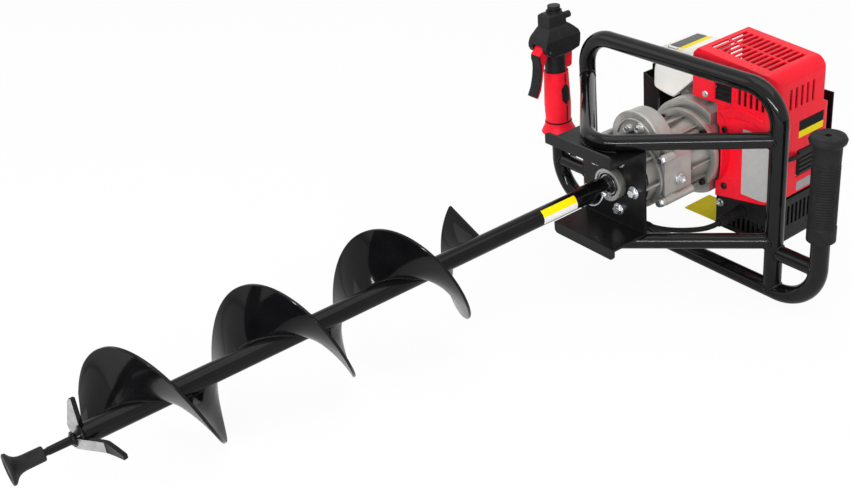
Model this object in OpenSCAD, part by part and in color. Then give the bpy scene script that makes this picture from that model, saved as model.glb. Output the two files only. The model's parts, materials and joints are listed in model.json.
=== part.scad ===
// Earth auger: two-handed petrol ground drill with a tube frame, lying on its handlebar and its drill.
// The drill axis is the Y axis of the machine, the drill points to -Y, and the handles point up.
// Each piece is modelled about the drill axis, then laid() tips the machine onto the ground.

/* [Frame tubes] */
// Diameter of the hoop and handlebar tubes
frame_tube_d = 25; // [22:0.5:28]
// Diameter of the brace and cross tubes
brace_tube_d = 22; // [18:0.5:24]
// Wall of every frame tube
tube_wall = 2; // [1.5:0.25:3]
// Distance between the two legs of the hoop
leg_spacing = 359; // [345:1:380]
// Distance between the two handle tubes
handle_spacing = 505; // [490:1:540]
// Height of the hoop's top tube over the drill axis
hoop_height = 143; // [135:1:165]
// Drop of the handlebar's run below the drill axis
run_drop = 154; // [150:1:170]
// Bend radius of the hoop's corners
hoop_bend = 50; // [40:1:60]
// Bend radius of the handlebar's corners
bar_bend = 65; // [50:1:70]
// Drop of the cross tubes below the drill axis
cross_drop = 92; // [85:1:100]
// How far the braces reach forward before their bend is rounded
brace_reach = 171; // [165:1:180]
// Bend radius of the braces
brace_bend = 40; // [32:1:46]
// Height of the right handle tube's end over the drill axis
right_end = 100; // [90:1:115]
// Height of the left handle tube's end over the drill axis
left_end = 30; // [10:1:40]

/* [Mounting bracket] */
// Width of the bracket
bracket_w = 118; // [112:1:126]
// Height of the bracket over its two flanges
bracket_h = 130; // [128:1:136]
// Depth of the flanges in front of the plate
flange_depth = 62; // [56:1:70]
// Height of the lips on the flanges
lip_h = 13; // [8:1:16]
// Sheet thickness of the bracket
bracket_t = 4; // [3:0.5:5]
// Distance from the hoop's plane to the front of the plate
bracket_reach = 125; // [123:1:130]
// Radius of the circle of the bracket's bolts
bracket_bolt_r = 40; // [37:0.5:42]
// Number of the bracket's bolts
bracket_bolt_n = 5; // [3:1:6]

/* [Drill] */
// Diameter of the flight
flight_d = 155; // [120:1:200]
// Rise of the flight in one turn
flight_pitch = 174; // [160:1:190]
// Number of turns of the flight
flight_turns = 3.02; // [2.5:0.01:3.2]
// Thickness of the flight
flight_t = 4; // [3:0.5:6]
// Distance from the hoop's plane to the upper end of the flight
flight_top = 357; // [340:1:380]
// Diameter of the drill's tube
drill_tube_d = 25; // [24.5:0.5:28]
// Distance from the hoop's plane to the upper end of the drill's tube
drill_top = 146; // [144:1:150]
// Length of the drill's tube
drill_len = 766; // [760:1:800]
// Diameter of the output shaft in the drill's tube
output_d = 20; // [18:0.5:20]
// Diameter of the pilot rod
pilot_d = 10; // [9:0.5:11]
// Length of the pilot rod below the tube
pilot_len = 64; // [58:1:70]
// Width of the cutter plates
cutter_w = 16; // [12:1:20]
// Diameter of the tip cap's foot
cap_foot_d = 36; // [30:1:42]
// Diameter of the lock pin
pin_d = 7.8; // [6:0.1:8]
// Radius of the lock pin's wire bow
bow_r = 20; // [19:0.5:22]

/* [Gearbox] */
// Module of the gears
gear_module = 1.25; // [1.2:0.05:1.3]
// Teeth on each pinion
pinion_teeth = 12; // [12:1:12]
// Teeth on each large gear
wheel_teeth = 60; // [60:1:60]
// Wall of the gearbox castings
case_wall = 5; // [4:0.5:6]
// Radius of the gearbox nose
nose_r = 24; // [23:0.5:26]
// How far the nose stands out of the bracket
nose_out = 13; // [11:1:15]
// Radius of the clutch housing at the engine
clutch_r = 62; // [61:0.5:63]
// Radius of the clutch drum
drum_r = 38; // [34:1:40]

/* [Engine] */
// Distance from the hoop's plane to the shroud's front panel
shroud_front = 40; // [36:1:46]
// Right side of the shroud from the drill axis
shroud_right = 138; // [132:1:142]
// Top of the shroud over the drill axis at its left side
shroud_top = 150; // [144:1:156]
// Slope of the shroud's top down to its right side
shroud_slope = 12; // [6:1:16]
// Bottom of the shroud below the drill axis
shroud_drop = 62; // [58:1:66]
// Wall of the shroud
shroud_wall = 2.5; // [2:0.25:3.5]
// Height of the shroud's ledge over the drill axis
ledge_z = 69; // [64:1:72]
// Number of slots across the top grille
grille_n = 11; // [9:1:15]
// Width of one slot
slot_w = 5; // [4:0.5:6]
// Distance from the hoop's plane to the cylinder's axis
cylinder_y = 100; // [98:1:104]
// Radius of the starter housing
starter_r = 60; // [54:1:64]
// Depth of the starter housing
starter_depth = 44; // [36:1:50]
// Width of the fuel tank
tank_w = 90; // [80:1:100]
// Height of the fuel tank
tank_h = 80; // [76:1:84]
// Thickness of the rear guard sheet
guard_t = 2; // [1.5:0.5:3]
// Depth of the lower cover
cover_h = 74; // [66:1:78]

/* [Handles] */
// Diameter of the right grip
grip_d = 36; // [33:0.5:40]
// Diameter of the right grip's end flange
grip_flange_d = 48; // [44:1:54]
// Length of the right grip
grip_len = 150; // [140:1:160]
// Diameter of the throttle grip
throttle_d = 41; // [38:0.5:44]
// Diameter of the throttle grip's collar
collar_d = 56; // [52:1:60]
// Width of the throttle head
head_w = 42; // [38:1:46]
// Diameter of the stop button
stop_d = 20; // [16:0.5:22]
// Diameter of the throttle cable's conduit over its ribs
conduit_d = 8; // [7:0.5:9]

/* [Hidden] */
$fn = 48;

// Clearances
weld_gap = 0.15;
seat_gap = 0.2;
run_gap = 0.05;
free_gap = 0.5;
over = 1;

// Frame
frame_r = frame_tube_d / 2;
brace_r = brace_tube_d / 2;
leg_x = leg_spacing / 2;
handle_x = handle_spacing / 2;
brace_z = bracket_h / 2 + brace_r + weld_gap;
brace_half = atan(leg_x / brace_reach);
bend_swell = 0.1;
bend_lap = 1;

// Bracket
plate_front = -bracket_reach;
plate_back = plate_front + bracket_t;
bolt_turn = -3;
lip_over = 10;

// Drill
tube_r = drill_tube_d / 2;
sleeve_r = tube_r + 1.6;
sleeve_len = 33;
output_r = output_d / 2;
flight_r = flight_d / 2;
flight_start = 291;
flight_steps = 36;
flight_n = round(flight_turns * flight_steps);
flight_end = flight_top + flight_n / flight_steps * flight_pitch;
flight_tail = 20;
drill_end = max(drill_top + drill_len, flight_end + flight_tail);
flight_lead = 0.78 * (drill_end - flight_end);
lead_steps = 6;
pin_y = -(drill_top + 13);
pin_r = pin_d / 2;
pilot_end = drill_end + pilot_len;
pilot_tip_r = pilot_d / 2 - 0.9;
cutter_t = 5;
cutter_tilt = 10;
cap_grip = 21;
cap_len = 39.5;
cap_edge = 0.8;
cap_top = pilot_end - cap_grip;
cap_foot = cap_top + cap_len;
bow_wire = 1.2;
bow_tilt = 15;
bow_stub = bow_wire + 0.15;
pin_head_r = pin_r + 1.4;
bow_side = pin_head_r + bow_wire + 0.3;

// Gearbox, from the bracket back to the engine
front_wall = plate_back + seat_gap;
nose_front = plate_front - nose_out;
gear_w = 11;
centre_dist = gear_module * (pinion_teeth + wheel_teeth) / 2;
wheel_tip = gear_module * (wheel_teeth / 2 + 0.9);
gear_room = wheel_tip + 1.5;
pinion_room = gear_module * (pinion_teeth / 2 + 0.9) + 1.5;
output_y = front_wall + 26;
web_y = output_y + gear_w + 3;
lay_y = web_y + 9;
gear_back = lay_y + gear_w + 4;
drum_front = gear_back + 12;
drum_room = drum_r + 2.5;
bell_front = drum_front + 17;
bell_back = 22;
ring_front = bell_back - 7;
shaft_r = 7;
spigot_r = 8;
lay_end_r = 5;
case_split = web_y;
case_r = gear_room + case_wall;
disc_r = case_r + 7.4;
lobe_r = pinion_room + case_wall;
block_half = case_r + 10;
block_low = -34;
block_high = 36;
block_chamfer = 6;
lug_list = [[block_half - 1, -28], [block_half + 2, 39]];
lug_r = 6.5;
bolt_r = 2.5;
screw_pcd = clutch_r - 6;

// Engine
crank_r = 8;
fan_front = bell_back + seat_gap;
fan_back = fan_front + 32;
fan_r = clutch_r - 2;
fan_room = screw_pcd - 4;
dome_r = fan_r + 13;
dome_right = 39;
block_back = 150;
block_r = 46;
head_x = 118;
shroud_left = -4;
shroud_back = 170;
upper_back = 148;
panel_left = 41;
tab_low = dome_r + 3;
corner_r = 18;
starter_front = block_back + seat_gap;
starter_back = starter_front + starter_depth;
starter_edge = 6;
rope_y = starter_front + 14;
rope_turn = -30;
tank_right = shroud_left - 6;
tank_left = tank_right - tank_w;
tank_front = fan_back + 1;
tank_back = 135;
tank_top = 130;
tank_low = tank_top - tank_h;
tank_mid = [tank_left + tank_w / 2, tank_low + tank_h / 2];
tank_edge = 8;
tank_corners = [
    [tank_left + 0.22 * tank_w, tank_top], [tank_left, tank_low + 0.18 * tank_h],
    [tank_left + 0.41 * tank_w, tank_low],
    [tank_right - 3, tank_low + 0.61 * tank_h], [tank_right, tank_top],
];
tank_rounds = [for (p = tank_corners) p + (tank_edge + 2) * (tank_mid - p) / norm(tank_mid - p)];
seat_edge = tank_rounds[3] - tank_rounds[2];
seat_turn = -atan2(seat_edge[1], seat_edge[0]);
seat_round = tank_rounds[2];
tank_seat = (seat_edge[0] * seat_round[1] - seat_edge[1] * seat_round[0]) / norm(seat_edge) - tank_edge;
cap_z = tank_top - tank_h / 2;
cap_x = (tank_left + tank_right) / 2;
guard_back = 178;
guard_left = tank_left - 40;
guard_right = shroud_right - 6;
guard_low = -60;
guard_high = ledge_z + 3;
guard_front = 0.8 * cylinder_y;
wing_w = 0.3 * cylinder_y;
shroud_screw_list = [[56, 39.5], [57, -50], [20, 84.5]];
boss_y = fan_back + 4;
muffler_low = [0.42 * shroud_right, 0.66 * cylinder_y, 0.41 * shroud_top];
muffler_high = [0.84 * shroud_right, 1.28 * cylinder_y, 0.77 * shroud_top];
plug_low = [shroud_right - 13, cylinder_y - 4, -28];
plug_high = [shroud_right + 3, cylinder_y + 36, 11];
cover_top = -shroud_drop;
cover_front = shroud_front + 22;
cover_back = 150;
cover_left = 25;
cover_right = shroud_right - 3;
boot_x = 72;
boot_z = -95;
boot_front = 12;

// Handles
throttle_r = throttle_d / 2;
collar_low = -42;
collar_top = -23;
grip_top = 64;
head_low = grip_top + seat_gap;
head_top = 138;
block_top = 161;
block_back_y = 14;
neck_r = 17.5;
neck_back = 6;
trigger_pivot = [-27, 106];
lever_pivot = [24, 100];
stop_y = 1.5;
hold_z = block_top - 12;
hold_r = 5.5;
stop_travel = 4;
hold_travel = 3;
cable_exit_y = 20;

// The machine lies on the handlebar's run and on the lowest turn of the flight
low_first = (flight_start - 180) / 360;
low_turns = low_first + floor(flight_turns - low_first);
rest_reach = flight_top + low_turns * flight_pitch;
rest_drop = run_drop - flight_r;
tilt = asin(frame_r / norm([rest_reach, rest_drop])) + atan(rest_drop / rest_reach);
lift = run_drop * cos(tilt) + frame_r;
front_reach = cap_foot * cos(tilt) + (cap_foot_d / 2 - cap_edge) * sin(tilt);
back_reach = starter_back * cos(tilt) + (starter_r - starter_edge) * sin(tilt);
origin_x = (grip_flange_d - collar_d) / 4;
origin_y = (back_reach - front_reach) / 2;

// Route of the throttle cable from the throttle grip to the boot on the lower cover
cable_route = [
    [-handle_x, cable_exit_y, collar_low - seat_gap], [-handle_x, cable_exit_y, -66], [-250, 20, -82],
    [-240, 22, -100], [-222, 24, -112], [-200, 24, -117], [-172, 22, -118], [-140, 8, -116],
    [-100, -18, -110], [-60, -42, -102], [-20, -62, -94], [14, -70, -88], [38, -62, -88],
    [56, -42, -91], [68, -18, -94], [boot_x, 0, boot_z], [boot_x, boot_front - seat_gap, boot_z],
];
conduit_ribs = 100;

black_gloss = [0.05, 0.05, 0.055];
black_plastic = [0.13, 0.13, 0.14];
cast_grey = [0.68, 0.67, 0.65];
zinc = [0.78, 0.79, 0.8];
signal_red = [0.88, 0.1, 0.14];
milky = [0.9, 0.89, 0.85];
steel = [0.6, 0.61, 0.63];

module laid() {
    translate([-origin_x, -origin_y, lift]) rotate([tilt, 0, 0]) children();
}

// Plain shapes between two points, and along one axis

module rod(p, q, r) {
    v = q - p;
    translate(p) rotate([0, acos(v[2] / norm(v)), atan2(v[1], v[0])]) cylinder(h = norm(v), r = r);
}

module round_y(y0, y1, r) {
    rod([0, y0, 0], [0, y1, 0], r);
}

module cone_y(y0, y1, r0, r1) {
    translate([0, y0, 0]) rotate([-90, 0, 0]) cylinder(h = y1 - y0, r1 = r0, r2 = r1);
}

module box(a, b) {
    translate(a) cube(b - a);
}

module rounded_rect(a, b, r) {
    translate([a[0] + r, a[1]]) square([b[0] - a[0] - 2 * r, b[1] - a[1]]);
    translate([a[0], a[1] + r]) square([b[0] - a[0], b[1] - a[1] - 2 * r]);
    for (x = [a[0] + r, b[0] - r], y = [a[1] + r, b[1] - r]) {
        translate([x, y]) circle(r);
    }
}

// A flat outline in the XY, XZ or YZ plane drawn out along the third axis
module slab_z(z0, z1) {
    translate([0, 0, z0]) linear_extrude(z1 - z0) children();
}

module slab_y(y0, y1) {
    translate([0, y1, 0]) rotate([90, 0, 0]) linear_extrude(y1 - y0) children();
}

module slab_x(x0, x1) {
    translate([x0, 0, 0]) rotate([90, 0, 90]) linear_extrude(x1 - x0) children();
}

module soft_box(a, b, r) {
    intersection() {
        slab_z(a[2], b[2]) rounded_rect([a[0], a[1]], [b[0], b[1]], r);
        slab_y(a[1], b[1]) rounded_rect([a[0], a[2]], [b[0], b[2]], r);
        slab_x(a[0], b[0]) rounded_rect([a[1], a[2]], [b[1], b[2]], r);
    }
}

module hex_bolt_y(y_seat, shank, across, head_h, r) {
    translate([0, y_seat - head_h, 0]) rotate([-90, 0, 0])
        cylinder(h = head_h, d = across / cos(30), $fn = 6);
    round_y(y_seat - over / 2, y_seat + shank, r);
}

// Frame tubes

module hoop_path(r) {
    for (side = [-1, 1]) {
        rod([side * leg_x, 0, -run_drop], [side * leg_x, 0, hoop_height - hoop_bend + bend_lap], r);
        translate([side * (leg_x - hoop_bend), 0, hoop_height - hoop_bend]) rotate([90, 0, 0])
            rotate([0, 0, side > 0 ? 0 : 90]) rotate_extrude(angle = 90)
                translate([hoop_bend, 0]) circle(r + bend_swell);
    }
    run = leg_x - hoop_bend + bend_lap;
    rod([-run, 0, hoop_height], [run, 0, hoop_height], r);
}

module bar_path(r, past) {
    for (side = [-1, 1]) {
        top = (side > 0 ? right_end : left_end) + past;
        rod([side * handle_x, 0, bar_bend - run_drop - bend_lap], [side * handle_x, 0, top], r);
        translate([side * (handle_x - bar_bend), 0, bar_bend - run_drop]) rotate([90, 0, 0])
            rotate([0, 0, side > 0 ? 270 : 180]) rotate_extrude(angle = 90)
                translate([bar_bend, 0]) circle(r + bend_swell);
    }
    run = handle_x - bar_bend + bend_lap;
    rod([-run, 0, -run_drop], [run, 0, -run_drop], r);
}

module brace_path(r) {
    run = norm([leg_x, brace_reach]) - brace_bend / tan(brace_half) + bend_lap;
    for (side = [-1, 1]) {
        rod([side * leg_x, 0, 0], [side * (leg_x - run * sin(brace_half)), -run * cos(brace_half), 0], r);
    }
    translate([0, brace_bend / sin(brace_half) - brace_reach, 0])
        rotate([0, 0, 180 + brace_half]) rotate_extrude(angle = 180 - 2 * brace_half)
            translate([brace_bend, 0]) circle(r + bend_swell);
}

module legs(r) {
    for (side = [-1, 1]) {
        rod([side * leg_x, 0, -run_drop], [side * leg_x, 0, hoop_height], r);
    }
}

module main_hoop() {
    color(black_gloss) laid() difference() {
        hoop_path(frame_r);
        hoop_path(frame_r - tube_wall);
        bar_path(frame_r + weld_gap, 0);
    }
}

module handlebar() {
    color(black_gloss) laid() difference() {
        bar_path(frame_r, 0);
        bar_path(frame_r - tube_wall, over);
    }
}

module brace(z) {
    difference() {
        translate([0, 0, z]) brace_path(brace_r);
        translate([0, 0, z]) brace_path(brace_r - tube_wall);
        legs(frame_r + weld_gap);
    }
}

module upper_brace() {
    color(black_gloss) laid() brace(brace_z);
}

module lower_brace() {
    color(black_gloss) laid() brace(-brace_z);
}

module cross_tubes() {
    color(black_gloss) laid() difference() {
        for (side = [-1, 1]) {
            difference() {
                rod([side * leg_x, 0, -cross_drop], [side * handle_x, 0, -cross_drop], brace_r);
                rod([side * leg_x, 0, -cross_drop], [side * handle_x, 0, -cross_drop], brace_r - tube_wall);
            }
        }
        legs(frame_r + weld_gap);
        bar_path(frame_r + weld_gap, 0);
    }
}

// Bracket

module bracket_bolt_places() {
    for (i = [0 : bracket_bolt_n - 1]) {
        turn = bolt_turn - i * 360 / bracket_bolt_n;
        translate([bracket_bolt_r * cos(turn), 0, bracket_bolt_r * sin(turn)]) children();
    }
}

module mounting_bracket() {
    half = bracket_w / 2;
    rise = bracket_h / 2;
    lip_front = plate_front - flange_depth;
    color(black_gloss) laid() difference() {
        union() {
            box([-half, plate_front, -rise], [half, plate_back, rise]);
            for (side = [-1, 1]) {
                low = side > 0 ? rise - bracket_t : -rise;
                left = side > 0 ? -half - lip_over : -half;
                lip_low = side > 0 ? low : low - lip_h;
                box([left, lip_front, low], [half, plate_back, low + bracket_t]);
                slab_y(lip_front, lip_front + bracket_t) intersection() {
                    rounded_rect([left, -rise - lip_h], [half, rise + lip_h], lip_h / 2);
                    translate([left, lip_low]) square([half - left, lip_h + bracket_t]);
                }
            }
        }
        round_y(plate_front - over, plate_back + over, nose_r + free_gap);
        bracket_bolt_places() round_y(plate_front - over, plate_back + over, 4 + 0.3);
    }
}

module bracket_bolts() {
    color(zinc) laid() bracket_bolt_places() {
        round_y(plate_front - 2, plate_front - run_gap, 9);
        hex_bolt_y(plate_front - 2, 15, 10, 6, 4);
    }
}

// Drill

module drill_tube() {
    color(black_gloss) laid() difference() {
        union() {
            round_y(-drill_end, -drill_top, tube_r);
            round_y(-drill_top - sleeve_len, -drill_top, sleeve_r);
        }
        round_y(-drill_end - over, -drill_top + over, output_r + run_gap);
        translate([0, pin_y, 0]) rod([-2 * tube_r, 0, 0], [2 * tube_r, 0, 0], pin_r + run_gap);
    }
}

// Near its lower end the flight's inner edge runs ahead of its rim
function flight_point(i, r, rise) =
    let (
        turn = flight_start - 360 * i / flight_steps,
        u = max(0, (i - flight_n + lead_steps) / lead_steps),
        lead = flight_lead * u * u * (flight_r - r) / (flight_r - tube_r),
        y = -flight_top - flight_pitch * i / flight_steps - lead
    )
    [r * sin(turn), y + rise, r * cos(turn)];

module drill_flight() {
    n = flight_n;
    inner = tube_r + weld_gap;
    points = [for (i = [0 : n]) each [
        flight_point(i, inner, flight_t / 2), flight_point(i, flight_r, flight_t / 2),
        flight_point(i, flight_r, -flight_t / 2), flight_point(i, inner, -flight_t / 2),
    ]];
    sides = [for (i = [0 : n - 1], k = [0 : 3]) each
        let (a = 4 * i + k, b = 4 * i + (k + 1) % 4)
        [[a, b, b + 4], [a, b + 4, a + 4]]];
    ends = [[0, 2, 1], [0, 3, 2], [4 * n, 4 * n + 1, 4 * n + 2], [4 * n, 4 * n + 2, 4 * n + 3]];
    color(black_gloss) laid() polyhedron(points = points, faces = concat(sides, ends), convexity = 8);
}

// A cutter plate stands out across the tube's end; the bent one turns aside halfway
module cutter(turn, outline) {
    rotate([0, turn, 0]) translate([0, cutter_t - drill_end, 0]) rotate([0, 0, cutter_tilt])
        slab_y(-cutter_t / 2, cutter_t / 2) polygon(outline);
}

module drill_cutters() {
    half = cutter_w / 2;
    root = tube_r - 2;
    reach = 0.62 * flight_r;
    far = 0.97 * flight_r;
    color(black_gloss) laid() difference() {
        union() {
            cutter(350, [
                [-half, root], [half, root], [half, reach - 10], [half / 2, reach], [-half / 2, reach], [-half, reach - 8],
            ]);
            cutter(88, [
                [-half, root], [half, root], [half, reach - 2], [half + 10, far - 4], [half + 2, far], [-half, reach + 2],
            ]);
        }
        round_y(-drill_end - 20, -drill_end + 60, tube_r + weld_gap);
    }
}

module pilot_point() {
    shoulder = -drill_end - 12;
    step = 4 - cap_top;
    tip = 8 - pilot_end;
    color(black_gloss) laid() {
        round_y(-drill_end, -drill_end + 30, output_r);
        cone_y(shoulder, -drill_end, pilot_d / 2, output_r);
        cone_y(step, shoulder + over / 2, pilot_d / 2 - 0.4, pilot_d / 2);
        round_y(tip, step + over / 2, pilot_tip_r);
        cone_y(-pilot_end, tip, 0.8, pilot_tip_r);
    }
}

module tip_cap() {
    barrel = 8.5;
    foot = cap_foot_d / 2;
    color(black_plastic) laid() translate([0, -cap_top, 0]) rotate([90, 0, 0]) rotate_extrude() difference() {
        polygon([
            [0, 0], [barrel - 2.5, 0], [barrel - 0.8, 1], [barrel, 3], [barrel, 20], [barrel + 0.6, 25],
            [barrel + 2.4, 30], [0.8 * foot, 34.5], [foot, cap_len - 2.6], [foot, cap_len - cap_edge],
            [foot - cap_edge, cap_len], [0, cap_len],
        ]);
        translate([-over, -over]) square([pilot_tip_r + run_gap + over, cap_grip + 2 * over + free_gap]);
    }
}

module lock_pin() {
    color(zinc) laid() translate([0, pin_y, 0]) difference() {
        union() {
            rod([-bow_r - 1, 0, 0], [sleeve_r + 1, 0, 0], pin_r);
            rod([sleeve_r + 1, 0, 0], [bow_r + 4, 0, 0], pin_head_r);
        }
        rotate([-bow_tilt, 0, 0])
            rod([bow_r, -2 * pin_head_r, 0], [bow_r, 2 * pin_head_r, 0], bow_stub + run_gap);
    }
}

// The bow pivots in the pin's head, passes under the tube and hooks below the pin's far end
module lock_bow() {
    turn = 156;
    color(zinc) laid() translate([0, pin_y, 0]) rotate([-bow_tilt, 0, 0]) translate([0, -bow_side, 0]) {
        rotate([-90, 0, 0]) rotate_extrude(angle = turn) translate([bow_r, 0]) circle(bow_wire);
        for (a = [0, turn]) {
            rotate([0, a, 0]) rod([bow_r, -bow_stub, 0], [bow_r, bow_side, 0], bow_stub);
        }
    }
}

module output_shaft() {
    color(steel) laid() difference() {
        union() {
            round_y(pin_y - 40, output_y - 2, output_r);
            round_y(output_y - 2 - over, output_y, output_r + 4);
            round_y(output_y - over, web_y + 3, spigot_r);
        }
        translate([0, pin_y, 0]) rod([-2 * tube_r, 0, 0], [2 * tube_r, 0, 0], pin_r + run_gap);
    }
}

// Gears: straight-flanked teeth, centred on turn

function gear_outline(teeth, turn) = [for (i = [0 : teeth - 1], k = [0 : 3])
    let (
        pitch_r = gear_module * teeth / 2,
        tip = k == 1 || k == 2,
        r = tip ? pitch_r + 0.9 * gear_module : pitch_r - 1.25 * gear_module,
        half = (tip ? 0.36 : 1.05) * gear_module,
        a = turn + i * 360 / teeth + (k < 2 ? -1 : 1) * half / r * 180 / PI
    )
    [r * cos(a), r * sin(a)]];

module gear(teeth, turn, y0, w, bore) {
    difference() {
        slab_y(y0, y0 + w) polygon(gear_outline(teeth, turn));
        if (bore > 0) {
            round_y(y0 - over, y0 + w + over, bore);
        }
    }
}

module output_gear() {
    color(steel) laid() gear(wheel_teeth, 90, output_y + run_gap, gear_w, spigot_r + run_gap);
}

module layshaft() {
    half_tooth = 180 / pinion_teeth;
    color(steel) laid() translate([0, 0, centre_dist]) {
        gear(pinion_teeth, 270 + half_tooth, output_y, gear_w, 0);
        round_y(output_y - 6, output_y + 0.5, lay_end_r);
        round_y(output_y + gear_w - 0.5, lay_y + 0.5, lay_end_r);
        gear(wheel_teeth, 270 + 180 / wheel_teeth, lay_y, gear_w, 0);
        round_y(lay_y + gear_w - 0.5, gear_back + 6, lay_end_r);
    }
}

module clutch_drum() {
    color(steel) laid() {
        gear(pinion_teeth, 90, lay_y, gear_w + over, 0);
        round_y(lay_y + gear_w + over / 2, drum_front + over, shaft_r);
        difference() {
            round_y(drum_front, -2, drum_r);
            round_y(drum_front + 4, over, drum_r - 3);
        }
    }
}

module output_bearing() {
    color(steel) laid() difference() {
        round_y(nose_front + 1.5, nose_front + 13.5, nose_r - 4 - run_gap);
        round_y(nose_front, nose_front + 15, output_r + run_gap);
        for (y = [nose_front + 1, nose_front + 12.5]) {
            difference() {
                round_y(y, y + 1.5, nose_r - 6);
                round_y(y, y + 1.5, output_r + 3);
            }
        }
    }
}

// Gearbox castings

module lobed_outline(r, top_r) {
    circle(r);
    translate([0, centre_dist]) circle(top_r);
    translate([-top_r, 0]) square([2 * top_r, centre_dist]);
}

module lug_places() {
    for (side = [-1, 1], p = lug_list) {
        translate([side * p[0], p[1]]) children();
    }
}

module lug_arms(w) {
    for (side = [-1, 1], p = lug_list) {
        rotate(atan2(p[1], side * p[0])) translate([0, -w / 2]) square([norm(p), w]);
    }
}

module block_outline() {
    x = block_half - block_chamfer;
    low = block_low + block_chamfer;
    high = block_high - block_chamfer;
    polygon([
        [-x, block_low], [x, block_low], [block_half, low], [block_half, high],
        [x, block_high], [-x, block_high], [-block_half, high], [-block_half, low],
    ]);
}

// The front casting: nose, bolted flange, core with webs, and the cup round the large gear
module gearbox_front() {
    cup_back = case_split - seat_gap;
    flange_back = front_wall + 7;
    cup_front = output_y - 7;
    color(cast_grey) laid() difference() {
        union() {
            round_y(nose_front, front_wall + over, nose_r);
            round_y(front_wall, flange_back, bracket_bolt_r + 11);
            cone_y(flange_back - over, cup_front + over, 30, case_r - 2);
            slab_y(cup_front, cup_back) lobed_outline(case_r, lobe_r);
            translate([0, 0, centre_dist]) round_y(cup_front - 4, cup_back, lobe_r);
            slab_y(cup_back - 4.5, cup_back) {
                circle(disc_r);
                lug_arms(10);
            }
            slab_y(cup_back - 7, cup_back) lug_places() circle(lug_r);
            for (a = [0 : 45 : 315]) {
                rotate([0, a, 0]) box([-2, front_wall + 3, nose_r], [2, cup_back - 2, disc_r - 2]);
            }
        }
        round_y(nose_front - over, nose_front + 14, nose_r - 4);
        round_y(nose_front, output_y, output_r + 4 + free_gap);
        slab_y(output_y - 1.5, cup_back + over) lobed_outline(gear_room, pinion_room);
        translate([0, 0, centre_dist]) round_y(output_y - 7, output_y, lay_end_r + run_gap);
        bracket_bolt_places() round_y(front_wall - over, front_wall + 10, 4 + run_gap);
        slab_y(cup_back - 8, cup_back + over) lug_places() circle(bolt_r + 0.1);
    }
}

// The rear casting: a block round the second gear pair and the drum's front, with two long bosses
module gearbox_housing() {
    back = bell_front - seat_gap;
    low = lug_list[0];
    color(cast_grey) laid() difference() {
        union() {
            slab_y(case_split, gear_back + 4) lobed_outline(case_r, case_r);
            slab_y(case_split, case_split + 4) circle(disc_r);
            slab_y(case_split, back) {
                circle(case_r);
                block_outline();
            }
            slab_y(case_split, case_split + 12) {
                lug_arms(10);
                lug_places() circle(lug_r);
            }
            for (side = [-1, 1]) {
                translate([side * low[0], 0, low[1]]) round_y(case_split, back, lug_r + 0.5);
            }
            translate([0, 0, centre_dist]) round_y(gear_back, gear_back + 9, lay_end_r + 5);
        }
        round_y(case_split - over, web_y + 4, spigot_r + run_gap);
        slab_y(lay_y - 2, gear_back) lobed_outline(gear_room, gear_room);
        translate([0, 0, centre_dist]) round_y(case_split - over, lay_y, lay_end_r + run_gap);
        translate([0, 0, centre_dist]) round_y(gear_back - over, gear_back + 7, lay_end_r + run_gap);
        round_y(gear_back - over, drum_front, shaft_r + run_gap);
        round_y(drum_front - 2, back + over, drum_room);
        slab_y(case_split - over, case_split + 9) lug_places() circle(bolt_r + 0.1);
    }
}

module gearbox_bolts() {
    seat = case_split - seat_gap - 7;
    color(zinc) laid() {
        slab_y(seat - 6, seat - 1) lug_places() circle(5.2, $fn = 6);
        slab_y(seat - 1.4, seat - run_gap) lug_places() circle(lug_r - 0.1);
        slab_y(seat - 1, case_split + 8) lug_places() circle(bolt_r);
    }
}

// Clutch housing between the gearbox and the engine

module screw_places() {
    for (a = [45 : 90 : 315]) {
        rotate([0, a, 0]) translate([0, 0, screw_pcd]) children();
    }
}

module clutch_housing() {
    color(cast_grey) laid() difference() {
        union() {
            round_y(bell_front, bell_front + 6, case_r + 1);
            cone_y(bell_front + 5, ring_front + over, case_r - 1, screw_pcd - 6);
            round_y(ring_front, bell_back, clutch_r);
            for (a = [0 : 30 : 330]) {
                rotate([0, a, 0])
                    box([-1.5, bell_front + 5, drum_room + 1], [1.5, ring_front + over, screw_pcd - 3]);
            }
        }
        cone_y(bell_front - over, bell_back + over, drum_room, drum_room + 2);
        screw_places() round_y(ring_front - over, bell_back + over, bolt_r + 0.1);
    }
}

module clutch_screws() {
    color(black_plastic) laid() screw_places() difference() {
        union() {
            round_y(ring_front - 5, ring_front - run_gap, 4.4);
            round_y(ring_front - 1, bell_back + 10, bolt_r);
        }
        translate([0, ring_front - 6, 0]) rotate([-90, 0, 0]) cylinder(h = 4, d = 4.6, $fn = 6);
    }
}

module clutch_shoes() {
    front = drum_front + 7;
    back = -6;
    color(steel) laid() difference() {
        round_y(front, back, drum_r - 5);
        round_y(front - over, back + over, crank_r + run_gap);
        difference() {
            round_y(front - over, back + over, drum_r - 11);
            round_y(front - over, back + over, crank_r + 6);
            box([-4, front - over, -drum_r], [4, back + over, drum_r]);
        }
        for (side = [-1, 1]) {
            translate([side * (drum_r - 6), 0, 0]) box([-6, front - over, -4], [6, back + over, 4]);
        }
    }
}

module crankshaft() {
    color(steel) laid() {
        round_y(drum_front + 5, block_back + 8, crank_r);
        round_y(cylinder_y - 16, cylinder_y - 7, 30);
        round_y(cylinder_y + 7, cylinder_y + 16, 30);
    }
}

module flywheel() {
    front = fan_front + 3;
    back = fan_back - 8;
    color(steel) laid() difference() {
        union() {
            round_y(back - 6, back, fan_room - 2);
            round_y(front, back, 24);
            for (a = [0 : 24 : 336]) {
                rotate([0, a, 0]) box([-1.2, front + 2, 22], [1.2, back - 5, fan_room - 4]);
            }
        }
        round_y(front - over, back + over, crank_r + run_gap);
    }
}

// Engine

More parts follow.
